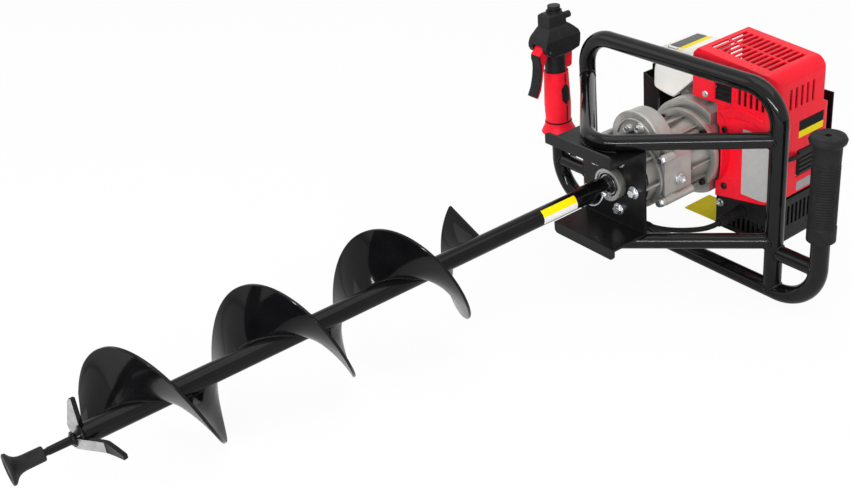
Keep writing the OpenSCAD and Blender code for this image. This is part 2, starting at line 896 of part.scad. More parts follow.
module crankcase() {
    color(cast_grey) laid() difference() {
        union() {
            round_y(fan_front, fan_back, fan_r);
            slab_y(fan_front + 6, fan_back) intersection() {
                circle(dome_r);
                translate([-dome_r, -dome_r]) square([dome_r + dome_right, 2 * dome_r]);
            }
            round_y(fan_back - over, block_back, block_r);
            box([0, cylinder_y - 34, -34], [block_r + 2, cylinder_y + 34, 34]);
            shroud_screw_places() round_y(shroud_front + shroud_wall + seat_gap, boss_y + 6, 6);
            for (p = shroud_screw_list) {
                rotate([0, atan2(p[0], p[1]), 0]) box([-4, boss_y - 3, 0], [4, boss_y + 3, norm(p)]);
            }
            rotate([0, seat_turn, 0])
                box([6, tank_front + 8, block_r / 2], [22, tank_back - 20, tank_seat - seat_gap]);
            for (a = [20 : 40 : 340]) {
                rotate([0, a, 0]) box([-1.5, fan_back - over, 40], [1.5, block_back - 4, block_r + 1.8]);
            }
        }
        round_y(fan_front - over, fan_back - 4, fan_room);
        round_y(fan_back - 5, block_back + over, crank_r + run_gap);
        round_y(cylinder_y - 17, cylinder_y + 17, 32);
        rod([0, cylinder_y, 0], [block_r + 3, cylinder_y, 0], 23);
        screw_places() round_y(fan_front - over, fan_front + 12, bolt_r + 0.1);
        shroud_screw_places() round_y(shroud_front, boss_y + 2, bolt_r + 0.1);
    }
}

module cylinder_fin(x, half) {
    slab_x(x, x + 2.5) rounded_rect([cylinder_y - half, -half], [cylinder_y + half, half], 8);
}

module finned_cylinder() {
    base = block_r + 2 + seat_gap;
    color(cast_grey) laid() difference() {
        union() {
            slab_x(base, base + 8) rounded_rect([cylinder_y - 32, -32], [cylinder_y + 32, 32], 8);
            rod([base, cylinder_y, 0], [head_x, cylinder_y, 0], 27);
            for (x = [base + 14 : 8 : head_x - 3]) {
                cylinder_fin(x, 34);
            }
        }
        rod([base - over, cylinder_y, 0], [head_x - 12, cylinder_y, 0], 22);
        rod([head_x - 13, cylinder_y, 0], [head_x + over, cylinder_y, 0], 7 + run_gap);
    }
}

module spark_plug() {
    color(steel) laid() translate([0, cylinder_y, 0]) {
        rod([head_x - 11, 0, 0], [head_x + 0.5, 0, 0], 7);
        translate([head_x + run_gap, 0, 0]) rotate([0, 90, 0]) cylinder(h = 5, d = 22, $fn = 6);
        rod([head_x + 4, 0, 0], [head_x + 12, 0, 0], 4);
    }
}

module plug_cap() {
    low = plug_low;
    high = plug_high;
    color(black_plastic) laid() difference() {
        union() {
            soft_box(low, high, 4);
            rod([head_x + 6, cylinder_y, 0], [low[0] + 6, cylinder_y, 0], 7);
            box([head_x + 6, cylinder_y, -7], [low[0] + 6, cylinder_y + 10, 5]);
        }
        rod([head_x, cylinder_y, 0], [head_x + 13, cylinder_y, 0], 4 + run_gap);
        for (z = [low[2] + 6 : 7 : high[2] - 6]) {
            box([high[0] - 2, low[1] - over, z], [high[0] + over, high[1] + over, z + 3]);
        }
    }
}

module muffler() {
    x = (muffler_low[0] + muffler_high[0]) / 2;
    color(steel) laid() difference() {
        union() {
            soft_box(muffler_low, muffler_high, 7);
            box([x - 13, cylinder_y - 12, 34 + seat_gap], [x + 13, cylinder_y + 12, muffler_low[2] + 2]);
        }
        rod([x, cylinder_y, 30], [x, cylinder_y, muffler_low[2] + 28], 8);
    }
}

module carburettor() {
    low = cover_top - cover_h + shroud_wall + seat_gap;
    x = boot_x + 8;
    y = cylinder_y;
    color(cast_grey) laid() {
        rod([x, y, low], [x, y, -34 - seat_gap], 15);
        box([x - 20, y - 18, boot_z - 12], [x + 20, y + 18, boot_z + 18]);
        rod([boot_x, cover_front + 6, boot_z], [boot_x, y - 17, boot_z], 5);
    }
}

module cover_outline(shrink) {
    low = cover_top - cover_h + shrink;
    rounded_rect([cover_left + shrink, low], [cover_right - shrink, cover_top + 20], 10);
}

module lower_cover() {
    wall = shroud_wall;
    slot_mid = cover_top - 44;
    color(black_plastic) laid() difference() {
        slab_y(cover_front, cover_back) intersection() {
            cover_outline(0);
            translate([0, cover_top - cover_h]) square([2 * shroud_right, cover_h]);
        }
        slab_y(cover_front + wall, cover_back - wall) cover_outline(wall);
        for (y = [cover_front + 14 : 9 : cover_back - 14]) {
            box([cover_right - 2 * wall, y, slot_mid], [cover_right + over, y + slot_w, cover_top - 12]);
        }
        for (x = [cover_left + 22 : 9 : cover_right - 22]) {
            box([x, cover_front - over, slot_mid - 22], [x + slot_w, cover_front + 2 * wall, slot_mid]);
        }
        rod([boot_x, cover_front - over, boot_z], [boot_x, cover_front + 9, boot_z], 5.5);
    }
}

// Shroud: a front profile drawn back, cut by a side profile that steps in above the ledge

module shroud_front_outline(shrink) {
    r = corner_r - shrink;
    left = shroud_left - 2 * shrink;
    right = shroud_right - shrink;
    top_left = shroud_top - shrink;
    top_right = shroud_top - shroud_slope - shrink;
    polygon([
        [left, -shroud_drop - 16 - 2 * shrink], [right, -shroud_drop + 7 - 2 * shrink],
        [right, top_right - r], [right - r, top_right], [shroud_left + 8, top_left], [left, top_left - 8],
    ]);
    translate([right - r, top_right - r]) circle(r);
}

module shroud_side_outline(shrink) {
    front = shroud_front + shrink;
    r = corner_r - shrink;
    rounded_rect([front, -shroud_drop - 40], [shroud_back - shrink, ledge_z - shrink], r);
    rounded_rect([front, -shroud_drop - 40], [upper_back - shrink, shroud_top + 40], r);
}

module shroud_plan_outline(shrink) {
    r = corner_r - shrink;
    rounded_rect([shroud_left - 40, shroud_front + shrink], [shroud_right - shrink, shroud_back - shrink], r);
}

module shroud_solid(shrink) {
    intersection() {
        slab_y(0, 2 * shroud_back) shroud_front_outline(shrink);
        slab_x(-shroud_right, 2 * shroud_right) shroud_side_outline(shrink);
        slab_z(-2 * shroud_top, 2 * shroud_top) shroud_plan_outline(shrink);
    }
}

module grille_slots() {
    pitch = (shroud_right - shroud_left - 34) / grille_n;
    band_len = (upper_back - shroud_front) / 3;
    for (i = [0 : grille_n - 1], band = [0, 1]) {
        x = shroud_left + 16 + i * pitch;
        y = shroud_front + corner_r + band * (band_len + 3);
        box([x, y, shroud_top - 40], [x + 0.62 * pitch, y + band_len, shroud_top + over]);
    }
}

module engine_shroud() {
    inside = shroud_front + 2 * shroud_wall;
    side = shroud_right - 2 * shroud_wall;
    slots = 5;
    color(signal_red) laid() difference() {
        shroud_solid(0);
        shroud_solid(shroud_wall);
        round_y(0, shroud_back + over, fan_r + 2);
        box([-shroud_right, 0, -2 * shroud_drop], [panel_left, shroud_back + over, tab_low]);
        grille_slots();
        for (i = [0 : slots - 1]) {
            x = 77 + 2 * slot_w * i;
            y = 73 + 2.4 * slot_w * i;
            box([x, 0, 84], [x + slot_w, inside, 107 - i]);
            box([side, y, 80], [shroud_right + over, y + slot_w, 111]);
        }
        box([36, 0, 81], [66, inside, 107]);
        slab_x(shroud_right - 8, shroud_right + over) translate([plug_low[1] - 1, plug_low[2] - 1])
            square([plug_high[1] - plug_low[1] + 2, plug_high[2] - plug_low[2] + 2]);
        shroud_screw_places() round_y(shroud_front - over, shroud_front + 5, bolt_r + 0.1);
    }
}

module shroud_screw_places() {
    for (p = shroud_screw_list) {
        translate([p[0], 0, p[1]]) children();
    }
}

module shroud_screws() {
    color(black_plastic) laid() shroud_screw_places() {
        round_y(shroud_front - 3, shroud_front - run_gap, 5);
        round_y(shroud_front - 1, shroud_front + 9, 2.5);
    }
}

module starter_housing() {
    color(black_plastic) laid() difference() {
        union() {
            rotate([-90, 0, 0]) rotate_extrude() polygon([
                [0, starter_front], [starter_r, starter_front], [starter_r, starter_back - starter_edge],
                [starter_r - starter_edge, starter_back], [0, starter_back],
            ]);
            rotate([0, rope_turn, 0]) rod([0, rope_y, 0], [0, rope_y, starter_r + 8], 9);
            round_y(guard_back - 4, guard_back - seat_gap, starter_r + 8);
        }
        round_y(starter_front - over, starter_front + 12, 32);
        rotate([0, rope_turn, 0]) rod([0, rope_y, starter_r - 10], [0, rope_y, starter_r + 10], 3);
        for (a = [0 : 30 : 330]) {
            rotate([0, a, 0]) box([-2.5, starter_back - 5, 26], [2.5, starter_back + over, starter_r - 14]);
        }
    }
}

module fuel_tank() {
    color(milky) laid() {
        intersection() {
            slab_y(tank_front, tank_back) hull() {
                for (p = tank_rounds) {
                    translate(p) circle(tank_edge);
                }
            }
            slab_z(0, 2 * tank_top) rounded_rect([tank_left, tank_front], [tank_right, tank_back], 12);
            slab_x(tank_left - over, tank_right + over)
                rounded_rect([tank_front, tank_low], [tank_back, tank_top], 10);
        }
        translate([cap_x, 0, cap_z]) round_y(tank_back - over, tank_back + 8, 15);
    }
}

module fuel_cap() {
    color(black_plastic) laid() translate([cap_x, 0, cap_z]) difference() {
        round_y(tank_back + 0.3, tank_back + 18, 20);
        round_y(tank_back - over, tank_back + 8.3, 15.3);
        for (a = [0 : 30 : 330]) {
            rotate([0, a, 0]) translate([0, 0, 20.5]) round_y(tank_back - over, tank_back + 19, 2);
        }
    }
}

module rear_guard() {
    fold = guard_left + wing_w;
    lean = 1.4 * guard_t;
    tip = fold + wing_w;
    color(black_gloss) laid() difference() {
        slab_z(guard_low, guard_high) {
            translate([guard_left, guard_back]) square([guard_right - guard_left, guard_t]);
            translate([guard_left, guard_front]) square([guard_t, guard_back + guard_t - guard_front]);
            translate([guard_left, guard_front]) square([wing_w, guard_t]);
            polygon([
                [fold, guard_front], [tip, guard_front - wing_w], [tip + lean, guard_front - wing_w],
                [fold + lean, guard_front + guard_t], [fold, guard_front + guard_t],
            ]);
        }
        round_y(guard_back - over, guard_back + 2 * guard_t, starter_r + 2);
        translate([cap_x, 0, cap_z]) round_y(guard_back - over, guard_back + 2 * guard_t, 32);
        slab_y(guard_front - wing_w - over, guard_front + 20) polygon([
            [guard_left - over, guard_high - 8], [fold - 14, guard_high - 14], [fold, guard_high - 26],
            [fold + 10, guard_high - 38], [tip + 20, guard_high - 52], [tip + 20, guard_high + over],
            [guard_left - over, guard_high + over],
        ]);
        slab_y(guard_front - wing_w - over, guard_front + 50) translate([guard_left - over, guard_low - over])
            square([tip + 20 - guard_left, 48 + over]);
    }
}

// Handles

module right_grip() {
    top = right_end + 6;
    r = grip_d / 2;
    low = top - grip_len;
    ribs = 22;
    rib_low = low + 24;
    rib_pitch = (grip_len - 24 - 40) / ribs;
    color(black_plastic) laid() translate([handle_x, 0, 0]) rotate_extrude() difference() {
        polygon(concat(
            [[0, low], [r + 1, low], [r + 1, low + 20], [r - 0.5, low + 22]],
            [for (i = [0 : ribs - 1]) each [
                [r - 0.8, rib_low + i * rib_pitch], [r + 0.3, rib_low + (i + 0.35) * rib_pitch],
                [r + 0.3, rib_low + (i + 0.65) * rib_pitch]]],
            [[r - 0.8, top - 40], [r, top - 38], [r + 0.5, top - 14], [grip_flange_d / 2 - 1, top - 9],
             [grip_flange_d / 2, top - 5], [grip_flange_d / 2 - 2, top - 1], [grip_flange_d / 2 - 5, top],
             [0, top]]
        ));
        translate([-over, low - over]) square([frame_r + weld_gap + over, right_end + weld_gap - low + over]);
        translate([-over, low]) square([4 + over, grip_len + over]);
    }
}

module throttle_grip() {
    r = throttle_r;
    rim = collar_d / 2;
    tube_room = frame_r + weld_gap;
    color(signal_red) laid() translate([-handle_x, 0, 0]) difference() {
        rotate_extrude() difference() {
            polygon([
                [0, collar_low], [rim - 1, collar_low], [rim, collar_low + 1.5], [rim - 1, collar_low + 4],
                [r + 4, collar_low + 9], [r + 2, collar_low + 13], [r + 1.5, collar_top - 3], [r + 1.5, collar_top],
                [r - 0.8, collar_top], [r - 0.8, collar_top + 2.5], [r, collar_top + 2.5], [r + 1, collar_top + 30],
                [r, collar_top + 56], [r - 1, grip_top], [0, grip_top],
            ]);
            translate([-over, collar_low - over]) square([tube_room + over, left_end + weld_gap - collar_low + over]);
        }
        rod([0, cable_exit_y, collar_low - over], [0, cable_exit_y, collar_low + 4], conduit_d / 2 + 0.3);
        slab_x(r - 4, r + 4) pad_outline(0);
    }
}

module pad_outline(shrink) {
    half = 7 - shrink;
    polygon([
        [-half, 18], [0, 10 + shrink], [half, 18], [half, 38], [0, 46 - shrink], [-half, 38],
    ]);
}

module grip_pad() {
    r = throttle_r;
    color(black_plastic) laid() translate([-handle_x, 0, 0]) intersection() {
        slab_x(r - 4 + seat_gap, r + 4) pad_outline(seat_gap);
        rod([0, 0, 0], [0, 0, 50], r + 1.6);
    }
}

module head_outline() {
    polygon([
        [-16, 92], [-24, 97], [-33, 104], [-36, 110], [-36, 116], [-32, 126], [-26, 133],
        [-21, head_top + 2], [-20.5, block_top - 4], [-17, block_top],
        [block_back_y - 4, block_top], [block_back_y, block_top - 4], [block_back_y, head_top + 6],
        [20, head_top + 2], [27, head_top - 4], [34, 127], [36, 120], [35, 108], [33, 100],
        [24, 98], [15, 96], [neck_back, 94],
    ]);
}

// The head: a wide middle with a block on top, and a round neck down to the grip
module throttle_head() {
    w = head_w / 2;
    block_w = 13.5;
    p = trigger_pivot;
    lever = [lever_pivot[0], lever_pivot[1] + 4];
    color(black_plastic) laid() translate([-handle_x, 0, 0]) difference() {
        union() {
            intersection() {
                slab_x(-w, w) head_outline();
                slab_y(-60, 60) polygon([
                    [5 - w, 90], [-w, 97], [-w, 122], [2 - w, 129], [-block_w - 2, head_top],
                    [-block_w, head_top + 3], [-block_w, block_top - 3], [3 - block_w, block_top],
                    [block_w - 3, block_top], [block_w, block_top - 3], [block_w, head_top + 3],
                    [block_w + 2, head_top], [w - 2, 129], [w, 122], [w, 97], [w - 5, 90],
                ]);
            }
            intersection() {
                rod([0, 0, head_low], [0, 0, 100], neck_r);
                box([-w, -w, head_low], [w, neck_back, 100]);
            }
            rod([0, stop_y, block_top - over], [0, stop_y, block_top + 2.5], stop_d / 2 + 2.5);
        }
        box([-11, -60, 60], [11, -18, 116]);
        rod([-w - over, p[0], p[1]], [w + over, p[0], p[1]], 2.5 + run_gap);
        box([-10, 8.5, 88], [10, 60, 114]);
        rod([-14, lever[0], lever[1]], [14, lever[0], lever[1]], 2.5 + run_gap);
        rod([0, stop_y, block_top - 8], [0, stop_y, block_top + over], stop_d / 2 - 2 + run_gap);
        rod([0, stop_y, block_top], [0, stop_y, block_top + 3], stop_d / 2 + free_gap);
        rod([0, 6, hold_z], [0, 30, hold_z], hold_r + run_gap);
    }
}

module trigger_pin() {
    color(zinc) laid() translate([-handle_x, trigger_pivot[0], trigger_pivot[1]])
        rod([-head_w / 2 + 1, 0, 0], [head_w / 2 - 1, 0, 0], 2.5);
}

module throttle_trigger() {
    p = trigger_pivot;
    color(signal_red) laid() translate([-handle_x, 0, 0]) slab_x(-10, 10) difference() {
        union() {
            translate(p) circle(7);
            polygon([
                [-34, 108], [-41, 102], [-41.5, 95], [-39.5, 87], [-39.5, 78], [-41.5, 64], [-46, 48],
                [-52.5, 35], [-49, 32], [-41.5, 45], [-37.5, 60], [-35.6, 70], [-32, 84], [-22, 101],
            ]);
        }
        translate(p) circle(2.5 + run_gap);
    }
}

module safety_lever() {
    p = [lever_pivot[0], lever_pivot[1] + 4];
    low = grip_top + 2.5;
    color(signal_red) laid() translate([-handle_x, 0, 0]) {
        slab_x(-9, 9) {
            translate(p) circle(4);
            polygon([
                [p[0] - 4, p[1]], [11.5, 96], [10.5, 74], [12, low + 2], [15, low], [23, low], [26, low + 3],
                [28, 94], [p[0] + 4, p[1]],
            ]);
        }
        rod([-13, p[0], p[1]], [13, p[0], p[1]], 2.5);
    }
}

module stop_button() {
    rise = block_top + stop_travel;
    stem_low = hold_z + hold_r + stop_travel + free_gap;
    color(black_plastic) laid() translate([-handle_x, stop_y, 0]) {
        rod([0, 0, stem_low], [0, 0, rise + 1], stop_d / 2 - 2);
        rod([0, 0, rise + 0.5], [0, 0, rise + 6], stop_d / 2);
    }
}

module hold_button() {
    end = block_back_y + hold_travel + 15;
    color(black_plastic) laid() translate([-handle_x, 0, hold_z]) difference() {
        round_y(9.5, end, hold_r);
        round_y(end - 6, end + over, hold_r - 2);
    }
}

// Ribbed conduit: one skin that swells at each rib, with a plain bore

function route_at(t) =
    let (n = len(cable_route) - 1, k = min(n - 1, floor(t)), u = t - k,
         a = cable_route[max(0, k - 1)], b = cable_route[k], c = cable_route[k + 1],
         d = cable_route[min(n, k + 2)])
    0.5 * (2 * b + (c - a) * u + (2 * a - 5 * b + 4 * c - d) * u * u + (3 * b - a - 3 * c + d) * u * u * u);

function route_way(t) =
    let (n = len(cable_route) - 1, e = 0.02,
         v = t < 0.5 ? cable_route[1] - cable_route[0]
           : t > n - 0.5 ? cable_route[n] - cable_route[n - 1] : route_at(t + e) - route_at(t - e))
    v / norm(v);

function ring(t, r) =
    let (c = route_at(t), w = route_way(t), side = cross(w, [0.2, 0.5, 0.84]),
         u = side / norm(side), v = cross(w, u))
    [for (k = [0 : 7]) c + r * (cos(45 * k) * u + sin(45 * k) * v)];

function skin(rings, first) =
    [for (i = [0 : rings - 2], k = [0 : 7]) each
        let (a = first + 8 * i + k, b = first + 8 * i + (k + 1) % 8)
        [[a, b, b + 8], [a, b + 8, a + 8]]];

module throttle_cable() {
    n = len(cable_route) - 1;
    outer = 2 * conduit_ribs + 1;
    inner = 81;
    bore = conduit_d / 2 - 1.6;
    points = concat(
        [for (i = [0 : outer - 1]) each ring(n * i / (outer - 1), conduit_d / 2 - (i % 2 == 0 ? 0.9 : 0))],
        [for (i = [0 : inner - 1]) each ring(n * i / (inner - 1), bore)]
    );
    start = 8 * outer;
    out_faces = skin(outer, 0);
    in_faces = [for (f = skin(inner, start)) [f[2], f[1], f[0]]];
    first_end = [for (k = [0 : 7]) each let (j = (k + 1) % 8) [[k, start + j, j], [k, start + k, start + j]]];
    o = 8 * (outer - 1);
    s = start + 8 * (inner - 1);
    last_end = [for (k = [0 : 7]) each let (j = (k + 1) % 8) [[o + k, o + j, s + j], [o + k, s + j, s + k]]];
    color(black_plastic) laid()
        polyhedron(points = points, faces = concat(out_faces, in_faces, first_end, last_end), convexity = 10);
}

module cable_boot() {
    back = cover_front + 4;
    color(black_plastic) laid() translate([boot_x, 0, boot_z]) difference() {
        union() {
            cone_y(boot_front, cover_front - 4, conduit_d / 2 + 2, 9);
            round_y(cover_front - 4.5, cover_front - seat_gap, 10);
            round_y(cover_front - over, back, 5.2);
            for (y = [boot_front + 8 : 8 : cover_front - 12]) {
                round_y(y, y + 3, 8.5);
            }
        }
        round_y(boot_front - over, back + over, 2);
    }
}

main_hoop();
handlebar();
upper_brace();
lower_brace();
cross_tubes();
mounting_bracket();
bracket_bolts();
drill_tube();
drill_flight();
drill_cutters();
pilot_point();
tip_cap();
lock_pin();
lock_bow();
output_shaft();
output_gear();
output_bearing();
gearbox_front();
gearbox_housing();
gearbox_bolts();
layshaft();
clutch_drum();
clutch_housing();
clutch_screws();
clutch_shoes();
crankshaft();
flywheel();
crankcase();
finned_cylinder();
spark_plug();
plug_cap();
muffler();
carburettor();
lower_cover();
engine_shroud();
shroud_screws();
starter_housing();
fuel_tank();
fuel_cap();
rear_guard();
right_grip();
throttle_grip();
throttle_head();
grip_pad();
throttle_trigger();
trigger_pin();
safety_lever();
stop_button();
hold_button();
throttle_cable();
cable_boot();
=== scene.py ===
"""Dresses the lying earth auger: finishes for its solids, finer forms in place of a few of them,
and the welds, bare stickers and small fastenings that stand on them. Lengths are millimetres in
the machine's own frame: x to the plain grip, y along the drill axis to the engine, z to the top
of the hoop."""

import json
import math

import bmesh
import bpy
from mathutils import Matrix, Vector
from mathutils.bvhtree import BVHTree


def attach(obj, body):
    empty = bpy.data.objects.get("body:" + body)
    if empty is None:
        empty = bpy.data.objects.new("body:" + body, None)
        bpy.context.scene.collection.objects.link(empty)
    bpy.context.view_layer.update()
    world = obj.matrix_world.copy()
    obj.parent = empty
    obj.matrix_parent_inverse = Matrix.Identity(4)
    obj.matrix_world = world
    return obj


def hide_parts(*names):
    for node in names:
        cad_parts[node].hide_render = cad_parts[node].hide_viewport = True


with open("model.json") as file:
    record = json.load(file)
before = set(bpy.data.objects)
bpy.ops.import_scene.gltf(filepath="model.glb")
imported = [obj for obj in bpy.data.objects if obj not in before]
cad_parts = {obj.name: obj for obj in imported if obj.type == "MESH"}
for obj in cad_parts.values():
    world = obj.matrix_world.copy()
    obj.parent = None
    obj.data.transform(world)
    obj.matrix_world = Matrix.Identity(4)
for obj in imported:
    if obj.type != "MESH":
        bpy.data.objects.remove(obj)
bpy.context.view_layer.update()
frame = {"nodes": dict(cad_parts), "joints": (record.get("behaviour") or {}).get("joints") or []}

bl_info = {
    "name": "Earth Auger Dress",
    "version": (1, 0, 0),
    "blender": (4, 5, 0),
    "location": "View3D > Sidebar > Auger",
    "description": "Finishes, welds, stickers and conduit for a lying earth auger",
    "category": "Object",
}

# The machine's frame: the drill axis, and the hoop's plane behind the lock pin
JOINTS = {joint["name"]: joint for joint in frame["joints"]}
PIN_TO_HOOP = 0.159
DRILL_WAY = Vector(JOINTS["drill_spin"]["axis"]).normalized()
SIDE_WAY = Vector((1, 0, 0))
UP_WAY = SIDE_WAY.cross(DRILL_WAY)
HOOP_CENTRE = Vector(JOINTS["drill_spin"]["pos_m"]) + PIN_TO_HOOP * DRILL_WAY
MILLIMETRE = 0.001
MACHINE = Matrix.Translation(HOOP_CENTRE) @ Matrix(
    (SIDE_WAY, DRILL_WAY, UP_WAY)
).transposed().to_4x4() @ Matrix.Scale(MILLIMETRE, 4)

# Directions in the machine's frame
X, Y, Z = Vector((1, 0, 0)), Vector((0, 1, 0)), Vector((0, 0, 1))

# Sizes shared with the solids
FRAME_R = 12.5
BRACE_R = 11.0
LEG_X = 179.5
HANDLE_X = 252.5
RUN_Z = -154.0
CROSS_Z = -92.0
BRACE_Z = 76.15
BRACE_REACH = 171.0
BRACE_BEND = 40.0
BRACE_HALF = math.atan2(LEG_X, BRACE_REACH)
TUBE_R = 12.5
DRILL_END = -912.0
FLIGHT_TOP = -357.0
FLIGHT_PITCH = 174.0
FLIGHT_START = 291.0
FLIGHT_TURNS = 109 / 36
FLIGHT_R = 77.5
FLIGHT_T = 4.0
LEAD = 21.97
LEAD_TURN = 6 / 36
BEARING_FRONT = -136.5
SHROUD_FRONT = 40.0
SHROUD_RIGHT = 138.0
PANEL_LEFT = 41.0
TANK_TOP = 130.0
COVER_FRONT = 62.0
COVER_LEFT = 25.0
GEARBOX_RIGHT = 55.1
BOLT_RING = 40.0
LOBE_Z = 45.0
LOBE_R = 45.1

# Sizes of the scene's own forms
LEAN = 10.0
COLLAR_R = 63.0
SEAM_Z = 65.8
SEAM_OFF = 7.5
WASHER_BACK = -127.0
BARE_X = 34.0
BEAD_STEP = 4
WHITE = (1, 1, 1, 1)


def colour_field(name, description, default):
    """A colour property, as linear light."""
    return bpy.props.FloatVectorProperty(
        name=name, description=description, subtype="COLOR", default=default, min=0.0, max=1.0)


class AugerStage(bpy.types.PropertyGroup):
    """Camera, lamps and floor."""

    camera_place: bpy.props.FloatVectorProperty(
        name="Camera place", description="Where the camera stands, from the middle of the hoop",
        default=(1.02477, -1.19609, 0.60864), subtype="XYZ", unit="LENGTH", precision=5)
    camera_turn: bpy.props.FloatProperty(
        name="Camera turn", description="Turn round the machine, from looking along the drill axis",
        default=math.radians(54.2034), subtype="ANGLE")
    camera_drop: bpy.props.FloatProperty(
        name="Camera drop", description="How far the camera looks down",
        default=math.radians(24.6721), subtype="ANGLE")
    camera_roll: bpy.props.FloatProperty(
        name="Camera roll", description="Roll about the line of sight",
        default=math.radians(-0.589), subtype="ANGLE")
    lens: bpy.props.FloatProperty(
        name="Lens", description="Focal length in millimetres on a 36 mm sensor", default=47.839, min=10.0)
    shift: bpy.props.FloatVectorProperty(
        name="Shift", description="Shift of the picture's frame", size=2, default=(0.00503, -0.03574))
    world_light: bpy.props.FloatProperty(
        name="World light", description="Strength of the even light from all round", default=0.6, min=0.0)
    key_power: bpy.props.FloatProperty(
        name="Key lamp", description="Power of the large lamp over the machine",
        default=16.0, min=0.0, unit="POWER")
    fill_power: bpy.props.FloatProperty(
        name="Fill lamp", description="Power of the lamp on the drill's side",
        default=5.0, min=0.0, unit="POWER")
    strip_power: bpy.props.FloatProperty(
        name="Strip lamp", description="Power of the long lamp that draws lines of light on the tubes",
        default=30.0, min=0.0, unit="POWER")
    floor_colour: colour_field("Floor", "Colour of the floor", (0.9, 0.9, 0.9))


class AugerColours(bpy.types.PropertyGroup):
    """Colours of the finishes."""

    paint_black: colour_field(
        "Frame paint", "Gloss black of the tubes and the drill", (0.004, 0.004, 0.0045))
    moulded_black: colour_field("Moulded black", "Satin black of the plastic covers", (0.009, 0.009, 0.0095))
    rubber_black: colour_field("Rubber", "Matt black of the grip and the tip cap", (0.009, 0.009, 0.0095))
    signal_red: colour_field(
        "Signal red", "Gloss red of the shroud and the throttle grip", (0.88, 0.010, 0.028))
    cast_metal: colour_field(
        "Cast metal", "Aluminium castings of the gearbox and clutch", (0.53, 0.52, 0.49))
    zinc: colour_field("Zinc", "Plating of the bolts and the lock pin", (0.72, 0.74, 0.76))
    milky: colour_field("Tank", "Milky plastic of the fuel tank", (0.86, 0.85, 0.81))
    sticker_yellow: colour_field("Sticker yellow", "Yellow of the bare stickers", (0.91, 0.74, 0.005))


class AugerTrim(bpy.types.PropertyGroup):
    """Sizes of the small pieces, in millimetres."""

    weld_r: bpy.props.FloatProperty(
        name="Weld bead", description="Radius of a weld bead on the frame", default=1.9, min=0.5)
    flight_weld_r: bpy.props.FloatProperty(
        name="Flight weld", description="Radius of the weld bead along the flight", default=1.7, min=0.5)
    conduit_r: bpy.props.FloatProperty(
        name="Conduit", description="Radius of the conduit over its ribs", default=4.0, min=1.0)
    rib_pitch: bpy.props.FloatProperty(
        name="Rib pitch", description="Distance between the conduit's ribs", default=2.6, min=1.0)
    sheet_t: bpy.props.FloatProperty(
        name="Sticker", description="Thickness of a sticker", default=0.2, min=0.05)


def stage_sizes():
    return bpy.context.scene.auger_stage


def colours():
    return bpy.context.scene.auger_colours


def trim():
    return bpy.context.scene.auger_trim


# Finishes

NOISE_DETAIL = 4.0
NOISE_BAND = (0.3, 0.7)


def new_finish(name):
    material = bpy.data.materials.new(name)
    material.use_nodes = True
    tree = material.node_tree
    return material, tree, tree.nodes["Principled BSDF"]


def noise(tree, scale, stretch=None):
    """A noise texture in the object's own space, as cells per metre."""
    place = tree.nodes.new("ShaderNodeTexCoord")
    texture = tree.nodes.new("ShaderNodeTexNoise")
    texture.inputs["Scale"].default_value = scale
    texture.inputs["Detail"].default_value = NOISE_DETAIL
    source = place.outputs["Object"]
    if stretch:
        mapping = tree.nodes.new("ShaderNodeMapping")
        mapping.inputs["Scale"].default_value = stretch
        tree.links.new(source, mapping.inputs["Vector"])
        source = mapping.outputs["Vector"]
    tree.links.new(source, texture.inputs["Vector"])
    return texture.outputs["Fac"]


def mottle(tree, shader, colour, spread, scale):
    """Varies the base colour a little lighter and darker."""
    ramp = tree.nodes.new("ShaderNodeValToRGB")
    dark, light = ramp.color_ramp.elements
    dark.position, light.position = NOISE_BAND
    dark.color = (*[c * (1 - spread) for c in colour], 1)
    light.color = (*[min(1, c * (1 + spread)) for c in colour], 1)
    tree.links.new(noise(tree, scale), ramp.inputs["Fac"])
    tree.links.new(ramp.outputs["Color"], shader.inputs["Base Color"])


def painted_hollow_shade(tree, shader, reach):
    """Painted shade: darkens the base colour where other surfaces stand close, as shade falls there."""
    source = shader.inputs["Base Color"].links[0].from_socket
    shade_node = tree.nodes.new("ShaderNodeAmbientOcclusion")
    shade_node.samples = 8
    shade_node.inputs["Distance"].default_value = reach
    tree.links.new(source, shade_node.inputs["Color"])
    tree.links.new(shade_node.outputs["Color"], shader.inputs["Base Color"])


def uneven_gloss(tree, shader, low, high, scale):
    """Roughness that wanders between two values."""
    spread = tree.nodes.new("ShaderNodeMapRange")
    for socket, value in zip(("From Min", "From Max", "To Min", "To Max"), (*NOISE_BAND, low, high)):
        spread.inputs[socket].default_value = value
    tree.links.new(noise(tree, scale), spread.inputs["Value"])
    tree.links.new(spread.outputs["Result"], shader.inputs["Roughness"])


def relief(tree, shader, scale, depth, strength, edge=0.0, stretch=None):
    """Fine bumps over the surface, on edges softened by a small radius."""
    bump = tree.nodes.new("ShaderNodeBump")
    bump.inputs["Strength"].default_value = strength
    bump.inputs["Distance"].default_value = depth
    tree.links.new(noise(tree, scale, stretch), bump.inputs["Height"])
    if edge:
        bevel = tree.nodes.new("ShaderNodeBevel")
        bevel.samples = 4
        bevel.inputs["Radius"].default_value = edge
        tree.links.new(bevel.outputs["Normal"], bump.inputs["Normal"])
    tree.links.new(bump.outputs["Normal"], shader.inputs["Normal"])


def coat(name, colour, spread, patches, low, high, clouds, grain, depth, strength,
         edge=0.0, stretch=None, specular=0.5, metallic=0.0, hollow_shade_reach=0.0):
    """A finish of mottled colour, uneven gloss and fine relief, with patches, clouds and grain as
    the cells per metre of the three."""
    material, tree, shader = new_finish(name)
    shader.inputs["Specular IOR Level"].default_value = specular
    shader.inputs["Metallic"].default_value = metallic
    mottle(tree, shader, colour, spread, patches)
    # Painted shade where other surfaces stand close, when a reach for it is given.
    if hollow_shade_reach:
        painted_hollow_shade(tree, shader, hollow_shade_reach)
    uneven_gloss(tree, shader, low, high, clouds)
    relief(tree, shader, grain, depth, strength, edge, stretch)
    return material


